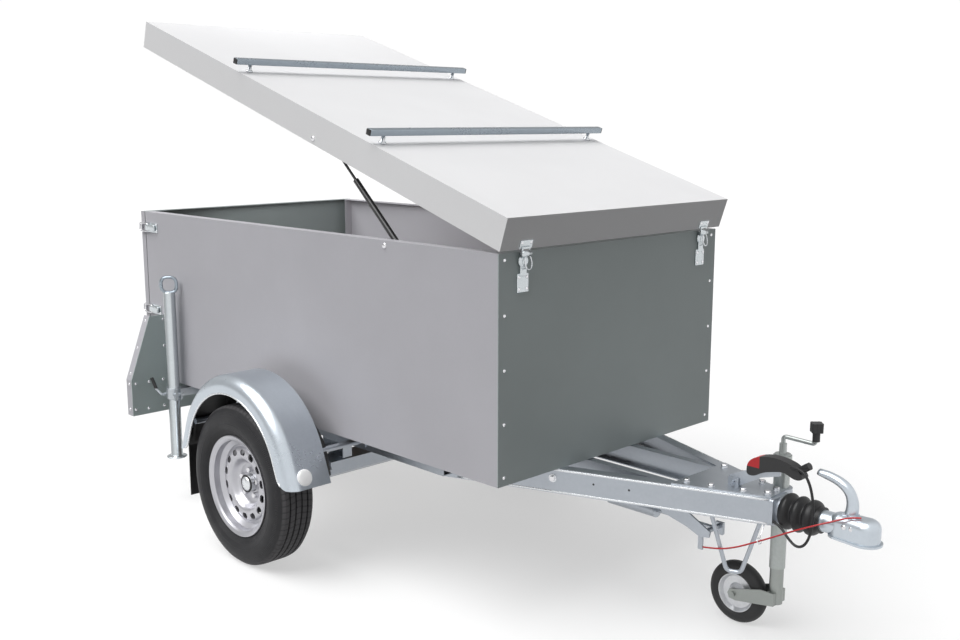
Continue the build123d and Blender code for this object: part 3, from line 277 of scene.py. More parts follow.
def two_tone(name, base, other, where, metal, rough):
    """Two finishes on one piece: other shows where the mask is 1, each with a fine cloud of two tones."""
    finish = Finish(name)
    mask = where(finish)
    cloud = finish.noise(scale=120.0)
    first, second = [finish.mix(cloud, *tones(colour, 0.88, 1.1)) for colour in (base, other)]
    finish.feed("Base Color", finish.mix(mask, first, second))
    finish.feed("Metallic", metal[0] + (metal[1] - metal[0]) * mask)
    finish.feed("Roughness", rough[0] + (rough[1] - rough[0]) * mask + 0.06 * cloud)
    finish.bump(cloud, 0.05, 0.0006)


def from_axle(finish, axle):
    """Distance from an axle that runs along y."""
    x, y, z = finish.axes((axle[0], 0, axle[1]))
    return (x * x + z * z).root()


def gate_edges(finish):
    """1 on the two side edges of the tailgate, which keep the side walls' grey while the rest of the gate is
    darker as painted shade.
    """
    return finish.axes()[1].size().step(0.5410, 0.5413)


def board_flange(finish):
    """1 on the light board's flange, which lies behind its face."""
    return 1 - finish.axes()[0].step(-1.3515, -1.3510)


def drum_skin(finish):
    """1 on the brake drum, outside the hub."""
    return from_axle(finish, AXLE).step(0.0325, 0.0330)


def jockey_tread(finish):
    """1 on the jockey wheel's tyre, outside its disc."""
    return from_axle(finish, JOCKEY_AXLE).step(0.0615, 0.0625)


def crank_knob(finish):
    """1 on the knob of the jockey wheel's crank."""
    x, y, z = finish.axes()
    return z.step(0.6395, 0.6405) * x.step(1.228, 1.230)


def grip_button(finish):
    """1 on the button at the end of the handbrake's grip."""
    x, y, z = finish.axes()
    return (1 - x.step(1.164, 1.166)) * z.step(0.569, 0.571)


def clamp_knob(finish):
    """1 on the knob of a prop stand's clamp lever."""
    x, y, z = finish.axes()
    return z.step(0.478, 0.480) * y.size().step(0.634, 0.636)


def tyre_rubber(name, side):
    """Tyre: rings moulded into the sidewall, a ribbed scuff band and short sipes across the tread.
    Each is a wave of the angle around the axle or of the distance from it, kept to its own band."""
    finish = Finish(name, specular_ior_level=0.35)
    x, y, z = finish.axes((AXLE[0], side * WHEEL_Y, AXLE[1]))
    reach = (x * x + z * z).root()
    turn = z.angle(x)
    tread = reach.step(0.276, 0.282)
    band = reach.between((0.252, 0.256), (0.264, 0.268))
    bead = reach.between((0.190, 0.192), (0.206, 0.208))
    edges = reach.between((0.222, 0.2235), (0.2255, 0.227))
    slant = turn * 80.0 + 60.0 * y.size()
    sipes = slant.wave().step(0.55, 0.85) * tread
    ribs = (turn * 240.0).wave() * band * 0.4
    rings = (reach * 2200.0).wave() * bead * 0.35
    grain = finish.noise(scale=260.0)
    dust = finish.noise(scale=9.0, detail=4.0)
    worn = dust.step(0.4, 0.8) * 0.16 + tread * 0.84
    dark = finish.mix(worn, (0.011, 0.011, 0.013), (0.120, 0.117, 0.122))
    finish.feed("Base Color", finish.mix(sipes * 0.35, dark, (0.010, 0.010, 0.010)))
    finish.feed("Roughness", 0.50 + 0.14 * grain + 0.12 * tread)
    finish.bump(ribs + rings + edges * 0.6 - sipes * 0.6 + grain * 0.15, 0.8, 0.0015)


def lamp_lens(name):
    """Rear lamp lens: an amber field above a red one, with fine upright flutes and a seam between the two."""
    finish = Finish(name, specular_ior_level=0.5, coat_weight=0.7, roughness=0.15)
    x, y, z = finish.axes()
    field = z.step(0.4625, 0.4640)
    seam = z.between((0.4605, 0.4615), (0.4650, 0.4660))
    finish.feed("Base Color", finish.mix(field, (0.45, 0.012, 0.012), (0.75, 0.22, 0.01)))
    finish.bump((y * 1800.0).wave() * 0.5 - seam, 0.5, 0.001)


zinc("galvanised", (0.47, 0.50, 0.54), (0.37, 0.40, 0.44), rough=0.34, grain=140.0)
zinc("pressed_zinc", (0.61, 0.66, 0.71), (0.51, 0.56, 0.61), rough=0.29, grain=160.0, skin=0.0)
zinc("silver_rim", (0.56, 0.56, 0.59), (0.48, 0.48, 0.51), rough=0.34, grain=300.0)
zinc("rolled_edge", (0.80, 0.82, 0.84), (0.70, 0.72, 0.74), rough=0.26, grain=200.0)
# zinc darkened for faces in shade, painted shade: the roof bars and the prop rings wear it
zinc("bar_zinc", (0.36, 0.41, 0.455), (0.29, 0.335, 0.38), rough=0.28, grain=200.0)
zinc("drawn_zinc", (0.66, 0.70, 0.72), (0.55, 0.59, 0.61), rough=0.22, grain=200.0)
zinc("dull_zinc", (0.37, 0.39, 0.375), (0.30, 0.32, 0.305), rough=0.40, grain=160.0)
coated_panel("grey_panel", SIDE_GREY)
# the front wall's green-grey is darker than the side walls' grey as painted shade on a face turned away from
# the sun
coated_panel("grey_front", (0.41, 0.465, 0.465))
# the tailgate is darker than the side walls' grey: painted shade on its inner face, with its side edges kept
# in the side grey
coated_panel("grey_gate", (0.32, 0.365, 0.365), edge=gate_edges)
coated_panel("dark_board", (0.45, 0.52, 0.51), edge=board_flange)
coated_panel("white_lid", (0.83, 0.83, 0.84), rough=0.60, speckle=0.015, shine=0.15)
coated_panel("floor_board", (0.16, 0.11, 0.08), rough=0.5, speckle=0.12)
rubber("black_rubber", (0.014, 0.014, 0.015), rough=0.42)
steel("bright_steel", (0.75, 0.75, 0.77), rough=0.20)
moulded("black_paint", KNOB_BLACK, rough=0.34, coat=0.2)
moulded("black_plastic", (0.016, 0.016, 0.017), rough=0.38)
moulded("red_sleeve", BRIGHT_RED, rough=0.35, coat=0.2)
moulded("clear_reflector", (0.92, 0.92, 0.92), rough=0.14, coat=0.8, glow=0.16)
two_tone("hub_and_drum", (0.62, 0.63, 0.65), DEEP_BLACK, drum_skin, (METAL, DULL), rough=(0.30, 0.40))
two_tone("jockey_disc", (0.66, 0.67, 0.69), DEEP_BLACK, jockey_tread, (METAL, DULL), rough=(0.32, 0.55))
two_tone("jockey_post", (0.40, 0.425, 0.415), KNOB_BLACK, crank_knob, (METAL, DULL), rough=(0.34, 0.42))
two_tone("brake_grip", (0.017, 0.017, 0.018), BRIGHT_RED, grip_button, (DULL, DULL), rough=(0.42, 0.38))
two_tone("clamp_and_lever", (0.50, 0.53, 0.56), KNOB_BLACK, clamp_knob, (METAL, DULL), rough=(0.34, 0.45))
lamp_lens("lamp_lens")
for side, k in SIDES:
    tyre_rubber(f"tyre_{side}_rubber", k)

# solids that show another finish than their slot's own, by the start of their names
SPECIAL = {"rear_lamp": "lamp_lens", "tyre_right": "tyre_right_rubber", "tyre_left": "tyre_left_rubber",
           "brake_drum": "hub_and_drum", "jockey_wheel": "jockey_disc", "jockey_tube": "jockey_post",
           "jockey_fork": "dull_zinc", "handbrake_grip": "brake_grip", "prop_clamp": "clamp_and_lever",
           "front_wall": "grey_front", "tailgate": "grey_gate", "fender": "pressed_zinc",
           "coupling_h": "pressed_zinc", "strut_rod": "black_paint"}
for name, node in NODES.items():
    special = [SPECIAL[start] for start in SPECIAL if name.startswith(start)]
    node.data.materials.clear()
    node.data.materials.append(FINISHES[special[0] if special else SLOT_OF[name]])


def aim_camera():
    """Camera at its place, turned by yaw from +X and by pitch from level."""
    data = bpy.data.cameras.new("camera")
    data.sensor_width, data.lens = SENSOR, LENS
    camera = bpy.data.objects.new("camera", data)
    level = math.cos(PITCH)
    ahead = Vector((math.cos(YAW) * level, math.sin(YAW) * level, math.sin(PITCH)))
    right = ahead.cross(Vector(UP)).normalized()
    turn = Matrix((right, right.cross(ahead), -ahead)).transposed()
    camera.matrix_world = Matrix.Translation(EYE) @ turn.to_4x4()
    bpy.context.scene.collection.objects.link(camera)
    bpy.context.scene.camera = camera


def floor():
    """Pale floor: a flat grid just under the ground, with a faint cloud and a glow that lifts it to white."""
    paint = Finish("floor_paint", roughness=0.9, specular_ior_level=0.1, emission_color=WHITE,
                   emission_strength=FLOOR_GLOW)
    paint.feed("Base Color", paint.mix(paint.noise(scale=0.8), (0.46, 0.46, 0.46), (0.48, 0.48, 0.48)))
    reach = np.linspace(-FLOOR_REACH, FLOOR_REACH, 3)
    across, along = np.meshgrid(reach, reach, indexing="ij")
    sheet = surface("floor", np.stack([across, along, 0 * across - FLOOR_DROP], -1), None, "floor_paint")
    sheet.visible_diffuse = False


def room():
    """Even room, white where the camera sees it. What shiny pieces see grows brighter towards the front."""
    world = bpy.data.worlds.new("even_room")
    world.use_nodes = True
    nodes = Nodes(world.node_tree)
    seen = nodes.node("ShaderNodeLightPath", output="Is Camera Ray")
    mirrored = nodes.node("ShaderNodeLightPath", output="Is Glossy Ray")
    way = nodes.node("ShaderNodeTexCoord", output="Generated")
    front = nodes.node("ShaderNodeSeparateXYZ", {}, {0: way}).step(-GLOSS_TURN, GLOSS_TURN)
    gloss = GLOSS_REAR + (GLOSS_FRONT - GLOSS_REAR) * front
    strength = mirrored * gloss + (seen * BACKDROP + ROOM_LIGHT)
    background = nodes.tree.nodes["Background"]
    background.inputs["Color"].default_value = WHITE
    nodes.tree.links.new(strength.socket, background.inputs["Strength"])
    bpy.context.scene.world = world
    bpy.context.scene.view_settings.view_transform = "Standard"


def light(name, kind, ahead, energy):
    """Light of one kind that shines along a direction."""
    lamp = bpy.data.objects.new(name, bpy.data.lights.new(name, kind))
    lamp.data.energy = energy
    lamp.rotation_euler = ahead.to_track_quat("-Z", "Y").to_euler()
    bpy.context.scene.collection.objects.link(lamp)
    return lamp


def lights():
    """Broad sun from the trailer's right, a weak one from behind,
    and two soft lamps over the box and the lid."""
    for name, source, strength in SUNS:
        sun = light(name, "SUN", -Vector(source), strength)
        sun.data.angle = SUN_SPREAD
        sun.visible_glossy = name == "sun"
    for name, place, aim, wide, power in LAMPS:
        lamp = light(name, "AREA", Vector(aim) - Vector(place), power)
        lamp.location = place
        lamp.data.shape, lamp.data.size, lamp.data.size_y = "RECTANGLE", wide, wide - LAMP_TRIM
        lamp.visible_camera = lamp.visible_glossy = False


def surface(name, points, body, finish, slot=None, around=False, closed=False, smooth=True):
    """Mesh of one or several grids of points (grids, rows, columns, 3): neighbours make quads; around joins
    the last column to the first, closed joins the last row to the first. Points that lie together
    are merged."""
    points = points.reshape((-1,) + points.shape[-3:])
    index = np.arange(points[..., 0].size).reshape(points.shape[:3])
    if around:
        index = np.concatenate([index, index[:, :, :1]], 2)
    if closed:
        index = np.concatenate([index, index[:, :1]], 1)
    corners = index[:, :-1, :-1], index[:, 1:, :-1], index[:, 1:, 1:], index[:, :-1, 1:]
    mesh = bpy.data.meshes.new(name)
    mesh.from_pydata(points.reshape(-1, 3), [], np.stack(corners, -1).reshape(-1, 4))
    work = bmesh.new()
    work.from_mesh(mesh)
    bmesh.ops.remove_doubles(work, verts=work.verts, dist=1e-6)
    bmesh.ops.recalc_face_normals(work, faces=work.faces)
    work.to_mesh(mesh)
    work.free()
    mesh.polygons.foreach_set("use_smooth", np.full(len(mesh.polygons), smooth))
    mesh.materials.append(FINISHES[finish])
    piece = bpy.data.objects.new(name, mesh)
    bpy.context.scene.collection.objects.link(piece)
    if body:
        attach(piece, body)
    return piece


def facing(direction):
    """Two unit vectors across a direction, and the direction itself."""
    n = np.array(direction, float) / np.linalg.norm(direction)
    u = np.cross(n, UP if abs(n[2]) < 0.9 else AHEAD)
    u /= np.linalg.norm(u)
    return u, np.cross(n, u), n


def turned(name, places, direction, profile, body, finish, slot, corners=0, smooth=True, sides=18):
    """Turned buttons, rings and bolt heads: a profile of (radius, height) pairs goes around the direction at
    each place. With n corners, the radius follows a polygon: r cos(pi/n) / cos(a mod 2 pi/n - pi/n)."""
    u, v, n = facing(direction)
    sides = 4 * corners if corners else sides
    a = np.arange(sides) * 2 * PI / sides
    r = np.cos(PI / corners) / np.cos(a % (2 * PI / corners) - PI / corners) if corners else np.ones(sides)
    ring = (np.cos(a) * r)[:, None] * u + (np.sin(a) * r)[:, None] * v
    profile = np.array(profile, float)
    shape = profile[:, 0, None, None] * ring + profile[:, 1, None, None] * n
    places = np.array(places, float)[:, None, None]
    return surface(name, places + shape, body, finish, slot, around=True, smooth=smooth)


def dome(radius, height, foot=0.0005):
    """Profile of a low dome: a quarter ellipse above a short foot."""
    t = np.linspace(0, PI / 2, 6)[:-1]
    curve = [(radius * math.cos(k), height * math.sin(k)) for k in t]
    return [(0, -foot), (radius, -foot)] + curve + [(0, height)]


def hex_head(radius, height, foot=0.0005):
    """Profile of a bolt head with a chamfered top."""
    return [(0, -foot), (radius, -foot), (radius, height * 0.85), (radius * 0.9, height), (0, height)]


def plug(radius, low, high):
    """Profile of a round plug with flat ends."""
    return [(0, low), (radius, low), (radius, high), (0, high)]


def washer(radius):
    """Profile of a thin washer, let a little into the face that it lies on."""
    return plug(radius, -0.0003, 0.0022)


def torus_profile(radius, wire):
    """Profile of a ring of round wire: a small circle at a radius."""
    return [(radius + wire * math.cos(k), wire * math.sin(k)) for k in np.linspace(0, 2 * PI, 13)]


def flattened(wave, power):
    """A wave with flatter crests: its sign times its size to a power below 1."""
    return np.sign(wave) * np.abs(wave) ** power


def round_bar(name, path, radius, body, finish, slot, sides=12, closed=False):
    """Round or oval bar along a path: at each point a circle, or an oval of two radii, across the path's
    direction, with its ends drawn to a point. The first radius lies across the plane of the path."""
    path = np.array(path, float)
    way = np.roll(path, -1, 0) - np.roll(path, 1, 0) if closed else np.gradient(path, axis=0)
    way /= np.linalg.norm(way, axis=1, keepdims=True)
    pole = np.eye(3)[np.abs(way).max(0).argmin()]
    u = np.cross(way, pole)
    u /= np.linalg.norm(u, axis=1, keepdims=True)
    v = np.cross(way, u)
    a = np.arange(sides) * 2 * PI / sides
    wide, thick = np.broadcast_to(np.array(radius, float), (len(path), 2)).T[..., None, None]
    rings = path[:, None] + thick * np.cos(a)[:, None] * u[:, None] + wide * np.sin(a)[:, None] * v[:, None]
    if not closed:
        tips = [np.broadcast_to(path[k], (1, sides, 3)) for k in (0, -1)]
        rings = np.concatenate([tips[0], rings, tips[1]])
    return surface(name, rings, body, finish, slot, around=True, closed=closed)


def lid_place(points):
    """Points of the opened lid (u ahead of its front edge, y, d above its lower edge), turned about
    its hinge: x grows by u cos a + d sin a and z by d cos a - u sin a, u and d taken from the hinge."""
    u, d = points[..., 0] - LID_EDGE[0], points[..., 2] + LID_EDGE[1]
    x = LID_HINGE[0] + u * math.cos(LID_TILT) + d * math.sin(LID_TILT)
    z = LID_HINGE[1] - u * math.sin(LID_TILT) + d * math.cos(LID_TILT)
    return np.stack([x, points[..., 1], z], -1)


def rounded_block(name, corner, far_corner, radius, body, finish, slot, place=None):
    """Block with rounded edges: a small ball's surface, pushed out to the block's eight corners by the
    sign of its direction, with both ends drawn to a point."""
    low, high = np.sort(np.array([corner, far_corner], float), 0)
    columns, rows = 24, 12
    a = (np.arange(columns) + 0.5) * 2 * PI / columns
    b = np.linspace(-PI / 2, PI / 2, rows)[:, None]
    ball = np.stack([np.cos(b) * np.cos(a), np.cos(b) * np.sin(a), np.sin(b) + 0 * a], -1)
    signs = np.stack([np.sign(np.cos(a)) + 0 * b, np.sign(np.sin(a)) + 0 * b, np.sign(b) + 0 * a], -1)
    shape = (low + high) / 2 + signs * ((high - low) / 2 - radius) + radius * ball
    ends = [np.broadcast_to(shape[k].mean(0), (1, columns, 3)) for k in (0, -1)]
    shape = np.concatenate([ends[0], shape, ends[1]])
    return surface(name, place(shape) if place else shape, body, finish, slot, around=True)


def gate_catch(side, k, level, z):
    """Toggle catch of the tailgate: a riveted plate, a lever and a wire bail on the wall, and a keeper
    on the gate. The bail is an oval with flat sides: flattened cos t along the wall, flattened sin t
    upwards."""
    wall = k * BOX_HALF

    def block(piece, along, off, half, radius, body, dress):
        """Block from two distances along the wall and off it, and half its height."""
        ends = [(BOX_REAR + along[n], wall + k * off[n], z + (-half, half)[n]) for n in (0, 1)]
        rounded_block(f"latch_{piece}_{side}_{level}", *ends, radius, body, *dress)

    plate = 0.003
    block("plate", (0.042, 0.136), (0, plate), half=0.020, radius=0.0013, body="chassis", dress=DRAWN)
    block("lever", (0.052, 0.124), (0.0035, 0.014), half=0.013, radius=0.005, body="chassis", dress=DRAWN)
    long, high, off, wire = 0.034, 0.017, 0.009, 0.0028
    t = np.linspace(0, 2 * PI, 40, endpoint=False)
    bail = np.stack([BOX_REAR + long + long * flattened(np.cos(t), 0.4), 0 * t + wall + k * off,
                     z + high * flattened(np.sin(t), 0.5)], -1)
    round_bar(f"latch_bail_{side}_{level}", bail, wire, "chassis", *BRIGHT, sides=8, closed=True)
    block("keeper", (0.006, 0.016), (0, 0.011), half=0.011, radius=0.003, body="gate", dress=BRIGHT)
    pin_x, pin_rise = BOX_REAR + 0.128, 0.013
    pins = [(pin_x, wall + k * plate, z + rise) for rise in (-pin_rise, pin_rise)]
    turned(f"latch_rivets_{side}_{level}", pins, (0, k, 0), dome(0.0042, 0.0022), "chassis", *BRIGHT)


def board_rivets(side, k):
    """Rivets on the light board's wing, and along its flange, which runs upright and then leans in."""
    rivet = dome(0.006, 0.003)
    spots = ((0.698, 0.498), (0.639, 0.498), (0.703, 0.390), (0.646, 0.386), (0.575, 0.386), (0.575, 0.498),
             (0.562, 0.640), (0.562, 0.752))
    wing = [(BOARD_FACE, k * y, z) for y, z in spots]
    turned(f"board_rivets_{side}", wing, AHEAD, rivet, "chassis", *BRIGHT)
    outer, bend, lean, rise = 0.716, 0.513, 0.094, 0.257
    rim = [(BOARD_FLANGE, k * outer, z) for z in (0.390, 0.495)]
    rim += [(BOARD_FLANGE, k * (outer - lean * t), bend + rise * t) for t in (0.1, 0.5, 0.92)]
    turned(f"flange_rivets_{side}", rim, (0, k, 0.2), rivet, "chassis", *BRIGHT)


def lid_catch(side, k):
    """Front catch of the lid: a riveted plate, a hook and a hinge barrel on the lid; a cam with a hanging
    ring, a neck and a strap with four rivets on the front wall. Heights on the wall go down from its top."""
    middle = k * 0.445

    def on_lid(piece, ahead, half, rise, radius):
        """Block from two distances ahead of the lid's edge and above it, and half its width."""
        ends = [(ahead[n], middle + (-half, half)[n], rise[n]) for n in (0, 1)]
        rounded_block(f"catch_{piece}_{side}", *ends, radius, "lid", *DRAWN, lid_place)

    def on_wall(piece, off, half, drop, radius, slot):
        """Block from two distances off the front wall and below its top, and half its width."""
        ends = [(BOX_FRONT + off[n], middle + (-half, half)[n], WALL_TOP - drop[n]) for n in (0, 1)]
        return rounded_block(f"catch_{piece}_{side}", *ends, radius, "chassis", "drawn_zinc", slot)

    on_lid("plate", (-0.001, 0.0035), half=0.0255, rise=(0.003, 0.029), radius=0.0012)
    on_lid("hook", (0.003, 0.008), half=0.0175, rise=(-0.004, 0.010), radius=0.002)
    half = 0.018
    barrel = [(BOX_FRONT + 0.015, middle - half, LID_HINGE[1])]
    turned(f"catch_barrel_{side}", barrel, (0, 1, 0), plug(0.0092, 0, 2 * half), "lid", *DRAWN, sides=24)
    pins = lid_place(np.array([(0.0032, middle + y, 0.021) for y in (-0.0185, 0.0185)]))
    lid_ahead = (math.cos(LID_TILT), 0, -math.sin(LID_TILT))
    turned(f"catch_rivets_{side}", pins, lid_ahead, dome(0.005, 0.0028), "lid", *BRIGHT)
    ring = [(BOX_FRONT + 0.0175, middle + 0.009, WALL_TOP - 0.031)]
    wire = torus_profile(0.0215, 0.0018)
    turned(f"catch_ring_{side}", ring, (1, 0.30, 0.15), wire, "chassis", *ROLLED, sides=36)
    cam = [(BOX_FRONT + 0.004, middle, WALL_TOP - 0.027)]
    turned(f"catch_cam_{side}", cam, AHEAD, dome(0.0205, 0.012), "chassis", *DRAWN, sides=30)
    on_wall("neck", (0.001, 0.0085), half=0.0135, drop=(0.072, 0.034), radius=0.003, slot="bright_steel")
    face = 0.0050
    strap = on_wall("strap", (0.0003, face), half=0.024, drop=(0.120, 0.064), radius=0.0018,
                    slot=SLOT_OF[f"front_latch_{side}"])
    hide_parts(f"front_latch_{side}")
    pins = [(BOX_FRONT + face, middle + y, WALL_TOP - z) for y in (-0.0165, 0.0165) for z in (0.110, 0.075)]
    turned(f"strap_rivets_{side}", pins, AHEAD, dome(0.0052, 0.0036), "chassis", *BRIGHT)


def box_details():
    """Screws along the front wall's edges, the gas struts' studs, and each side's catches and rivets."""
    from_foot, from_top, from_edge = 0.026, 0.020, 0.025
    heights = np.linspace(WALL_LOW + from_foot, WALL_TOP - from_top, 5)
    screws = [(BOX_FRONT, k * (BOX_HALF - from_edge), z) for _, k in SIDES for z in heights]
    turned("front_wall_screws", screws, AHEAD, dome(0.0055, 0.0025), "chassis", *BRIGHT)
    stud = dome(0.010, 0.005)
    for side, k in SIDES:
        foot, head = (0.083, k * BOX_HALF, 1.171), (-0.2786, k * 0.5475, 1.5034)
        turned(f"strut_stud_{side}", [foot], (0, k, 0), stud, "chassis", *BRIGHT)
        turned(f"lid_stud_{side}", [head], (0, k, 0), stud, "lid", *BRIGHT)
        for level, z in (("high", 1.124), ("low", 0.780)):
            gate_catch(side, k, level, z)
        board_rivets(side, k)
        lid_catch(side, k)


def lid_details():
    """Roof bars: square tubes with capped ends on slim round stands.
    Heights are above the lid's lower edge."""
    reach, low, high, half, soft = 0.562, 0.130, 0.151, 0.011, 0.002
    cap_reach, trim = (0.5605, 0.566), 0.0005
    stand_y, lid_top = 0.500, 0.103
    pad = [(0, 0), (0.013, 0), (0.013, 0.004), (0.0115, 0.006)]
    stem = [(0.0065, 0.007), (0.0065, 0.0275), (0, 0.0275)]
    for name, u in (("front", -0.640), ("rear", -1.435)):
        # the bar's darker zinc is painted shade
        bar = rounded_block(f"bar_{name}", (u - half, -reach, low), (u + half, reach, high), soft, "lid",
                            "bar_zinc", "galvanised", lid_place)
        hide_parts(f"roof_bar_{name}")
        base, top = lid_place(np.array([(u, 0, 0.0), (u, 0, 1.0)]))
        for side, k in SIDES:
            rounded_block(f"bar_cap_{name}_{side}", (u - half + trim, k * cap_reach[0], low + trim),
                          (u + half - trim, k * cap_reach[1], high - trim), soft, "lid", *BLACK, lid_place)
            foot = lid_place(np.array([(u, k * stand_y, lid_top)]))
            turned(f"bar_stand_{name}_{side}", foot, top - base, pad + stem, "lid", *ROLLED)


def prop_details():
    """Prop stands: a tube on a pressed foot, with a flat ring at the top to pull it up by.
    The ring is an oval in an upright plane: flattened cos t along the ground, flattened sin t upwards."""
    foot = [(0, -0.006), (0.039, -0.006), (0.041, -0.004), (0.041, -0.001), (0.036, 0.001), (0.0255, 0.002)]
    post = [(0.024, 0.004), (0.024, 0.684), (0.0225, 0.687), (0.0195, 0.687), (0.0195, 0.680), (0, 0.680)]
    ahead_of_gate, from_middle = 0.285, 0.585
    base_z, ring_z, flat, strip = 0.193, 0.909, 0.75, (0.010, 0.0062)
    ring_x, ring_y, ring_high = 0.0215, 0.0225, 0.031
    t = np.linspace(0, 2 * PI, 48, endpoint=False)
    across, upwards = flattened(np.cos(t), flat), flattened(np.sin(t), flat)
    for side, k in SIDES:
        x, y = BOX_REAR + ahead_of_gate, k * from_middle
        tube = turned(f"prop_tube_{side}", [(x, y, base_z)], UP, foot + post, f"prop_{side}", "drawn_zinc",
                      "galvanised", sides=36)
        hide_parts(f"prop_stand_{side}")
        ring = np.stack([x + ring_x * across, y - k * ring_y * across, ring_z + ring_high * upwards], -1)
        # the ring takes the zinc darkened as painted shade
        round_bar(f"prop_ring_{side}", ring, strip, f"prop_{side}", "bar_zinc", "galvanised", closed=True)


def coupling_details():
    """Coupling handle: an oval bar that curls up and back from the head, its section narrowing along the way.
    The path is a smooth curve through five points of the handle's middle."""
    head_x, head_z = BOX_FRONT + 0.885, 0.494
    knots = np.array([(-0.047, -0.004), (-0.044, 0.032), (-0.058, 0.064), (-0.091, 0.085), (-0.148, 0.097)])
    t = np.linspace(0, 4, 33)
    back, rise = [np.polyval(np.polyfit(range(5), knots[:, n], 4), t) for n in range(2)]
    width = 0.0155 - 0.0018 * np.abs(np.sin(t * 1.3)) ** 2
    thick = np.interp(t, (0, 0.7, 2, 3.6, 4), (0.019, 0.018, 0.0145, 0.0125, 0.0095))
    handle = round_bar("handle_bar", np.stack([head_x + back, 0 * t, head_z + rise], -1),
                       np.stack([width, thick], -1), "chassis", "pressed_zinc", "galvanised", sides=20)
    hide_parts("coupling_handle")


def wheel_details():
    """Wheel nuts on their circle, a dust cap in its seal ring and a valve on each wheel."""
    nut_circle, first_nut, cap_off = 0.049, 0.3, 0.020
    valve_x, valve_z = AXLE[0] + 0.070, AXLE[1] + 0.125
    a = np.arange(5) * 2 * PI / 5 + first_nut
    for side, k in SIDES:
        body, out = f"wheel_{side}", (0, k, 0)
        nuts = np.stack([AXLE[0] + nut_circle * np.cos(a), 0 * a + k * HUB_FACE,
                         AXLE[1] + nut_circle * np.sin(a)], -1)
        turned(f"wheel_nuts_{side}", nuts, out, hex_head(0.0105, 0.013), body, *BRIGHT, corners=6,
               smooth=False)
        cap = [(AXLE[0], k * (HUB_FACE + cap_off), AXLE[1])]
        turned(f"dust_cap_{side}", cap, out, dome(0.0265, 0.010), body, *ROLLED, sides=36)
        turned(f"seal_ring_{side}", cap, out, torus_profile(0.0290, 0.0035), body, *SEAL, sides=36)
        stem = [(valve_x, k * y, valve_z) for y in (0.730, 0.737, 0.744, 0.752, 0.760)]
        round_bar(f"valve_{side}", stem, 0.0045, body, *SEAL)


def fender_lip():
    """Line of a fender's lip, as x from the axle and height: up a round corner, which is a curve with one
    pull point, straight to the arch, around it and down again as its mirror image."""
    lip, low, corner = 0.288, 0.358, 0.038
    drop = (ARCH_MIDDLE + lip * math.sin(ARCH_END) - low) / math.cos(ARCH_END)
    foot = np.array([lip * math.cos(ARCH_END) + drop * math.sin(ARCH_END), low])
    rise = foot + corner * np.array([-math.sin(ARCH_END), math.cos(ARCH_END)])
    run = foot + (corner, 0)
    pull = foot + (-0.004, 0.006)
    t = np.linspace(0.45, 1, 8)[:, None]
    bend = (1 - t) ** 2 * run + 2 * t * (1 - t) * pull + t * t * rise
    swing = np.linspace(ARCH_END, PI - ARCH_END, 60)
    arch = np.stack([lip * np.cos(swing), ARCH_MIDDLE + lip * np.sin(swing)], -1)
    return np.concatenate([bend, arch, bend[::-1] * (-1, 1)])


def fender_shade_sheet(side, k):
    """Dark sheet under a fender's arch, painted shade where the inside of the arch lies in shadow: a closed
    profile of (distance across, radius) pairs carried around the arch, its thickness drawn to nothing at both
    ends. Near its low ends the inner edge moves towards the box."""
    over = np.array([(0.6335, 0.285), (0.6335, 0.342), (0.635, 0.3450), (0.641, 0.3460), (0.735, 0.3460),
                     (0.745, 0.3445)])
    under = np.array([(0.745, 0.3430), (0.735, 0.3445), (0.642, 0.3445), (0.6365, 0.3440), (0.635, 0.3415),
                      (0.635, 0.285)])
    swing = np.linspace(math.radians(6), math.radians(174), 48)
    loop = np.tile(np.concatenate([over, under]), (len(swing), 1, 1))
    loop[[0, -1], len(over):] = over[::-1]
    bend, soft, shift, outer = math.radians(45), math.radians(20), 0.0215, 0.7
    low_end = np.clip((bend - np.minimum(swing, PI - swing)) / soft, 0, 1)
    loop[..., 0] -= shift * low_end[:, None] * (loop[..., 0] < outer)
    across, reach = loop[..., 0], loop[..., 1]
    lining = np.stack([AXLE[0] + reach * np.cos(swing)[:, None], k * across,
                       ARCH_MIDDLE + reach * np.sin(swing)[:, None]], -1)
    surface(f"fender_shade_sheet_{side}", lining, "chassis", *BLACK, around=True, smooth=False)


def fender_details():
    """Rolled bead along each fender's lip, a dark sheet of painted shade under its arch and a clear reflector
    on its front.
    """
    lip_y, wire = 0.7945, 0.0035
    cup_x, cup_y, cup_z, lens_off = AXLE[0] + 0.3555, 0.730, 0.395, 0.0055
    line = fender_lip()
    out = (math.cos(ARCH_END), 0, math.sin(ARCH_END))
    cup = [(0, 0), (0.0285, 0), (0.0285, 0.004), (0.0265, 0.006), (0, 0.006)]
    for side, k in SIDES:
        path = np.stack([AXLE[0] + line[:, 0], np.full(len(line), k * lip_y), line[:, 1]], -1)
        round_bar(f"fender_bead_{side}", path, wire, "chassis", *BEADED)
        fender_shade_sheet(side, k)
        at = np.array([(cup_x, k * cup_y, cup_z)])
        turned(f"reflector_cup_{side}", at, out, cup, "chassis", *CLEAR, sides=40)
        lens = at + lens_off * np.array(out)
        turned(f"reflector_{side}", lens, out, dome(0.0255, 0.004), "chassis", *CLEAR, sides=40)


def beam_side(x):
    """Distance of a drawbar beam's outer face from the middle, at x ahead of the front wall."""
    return BEAM_TIP + BEAM_SLOPE * (BEAM_END - x)


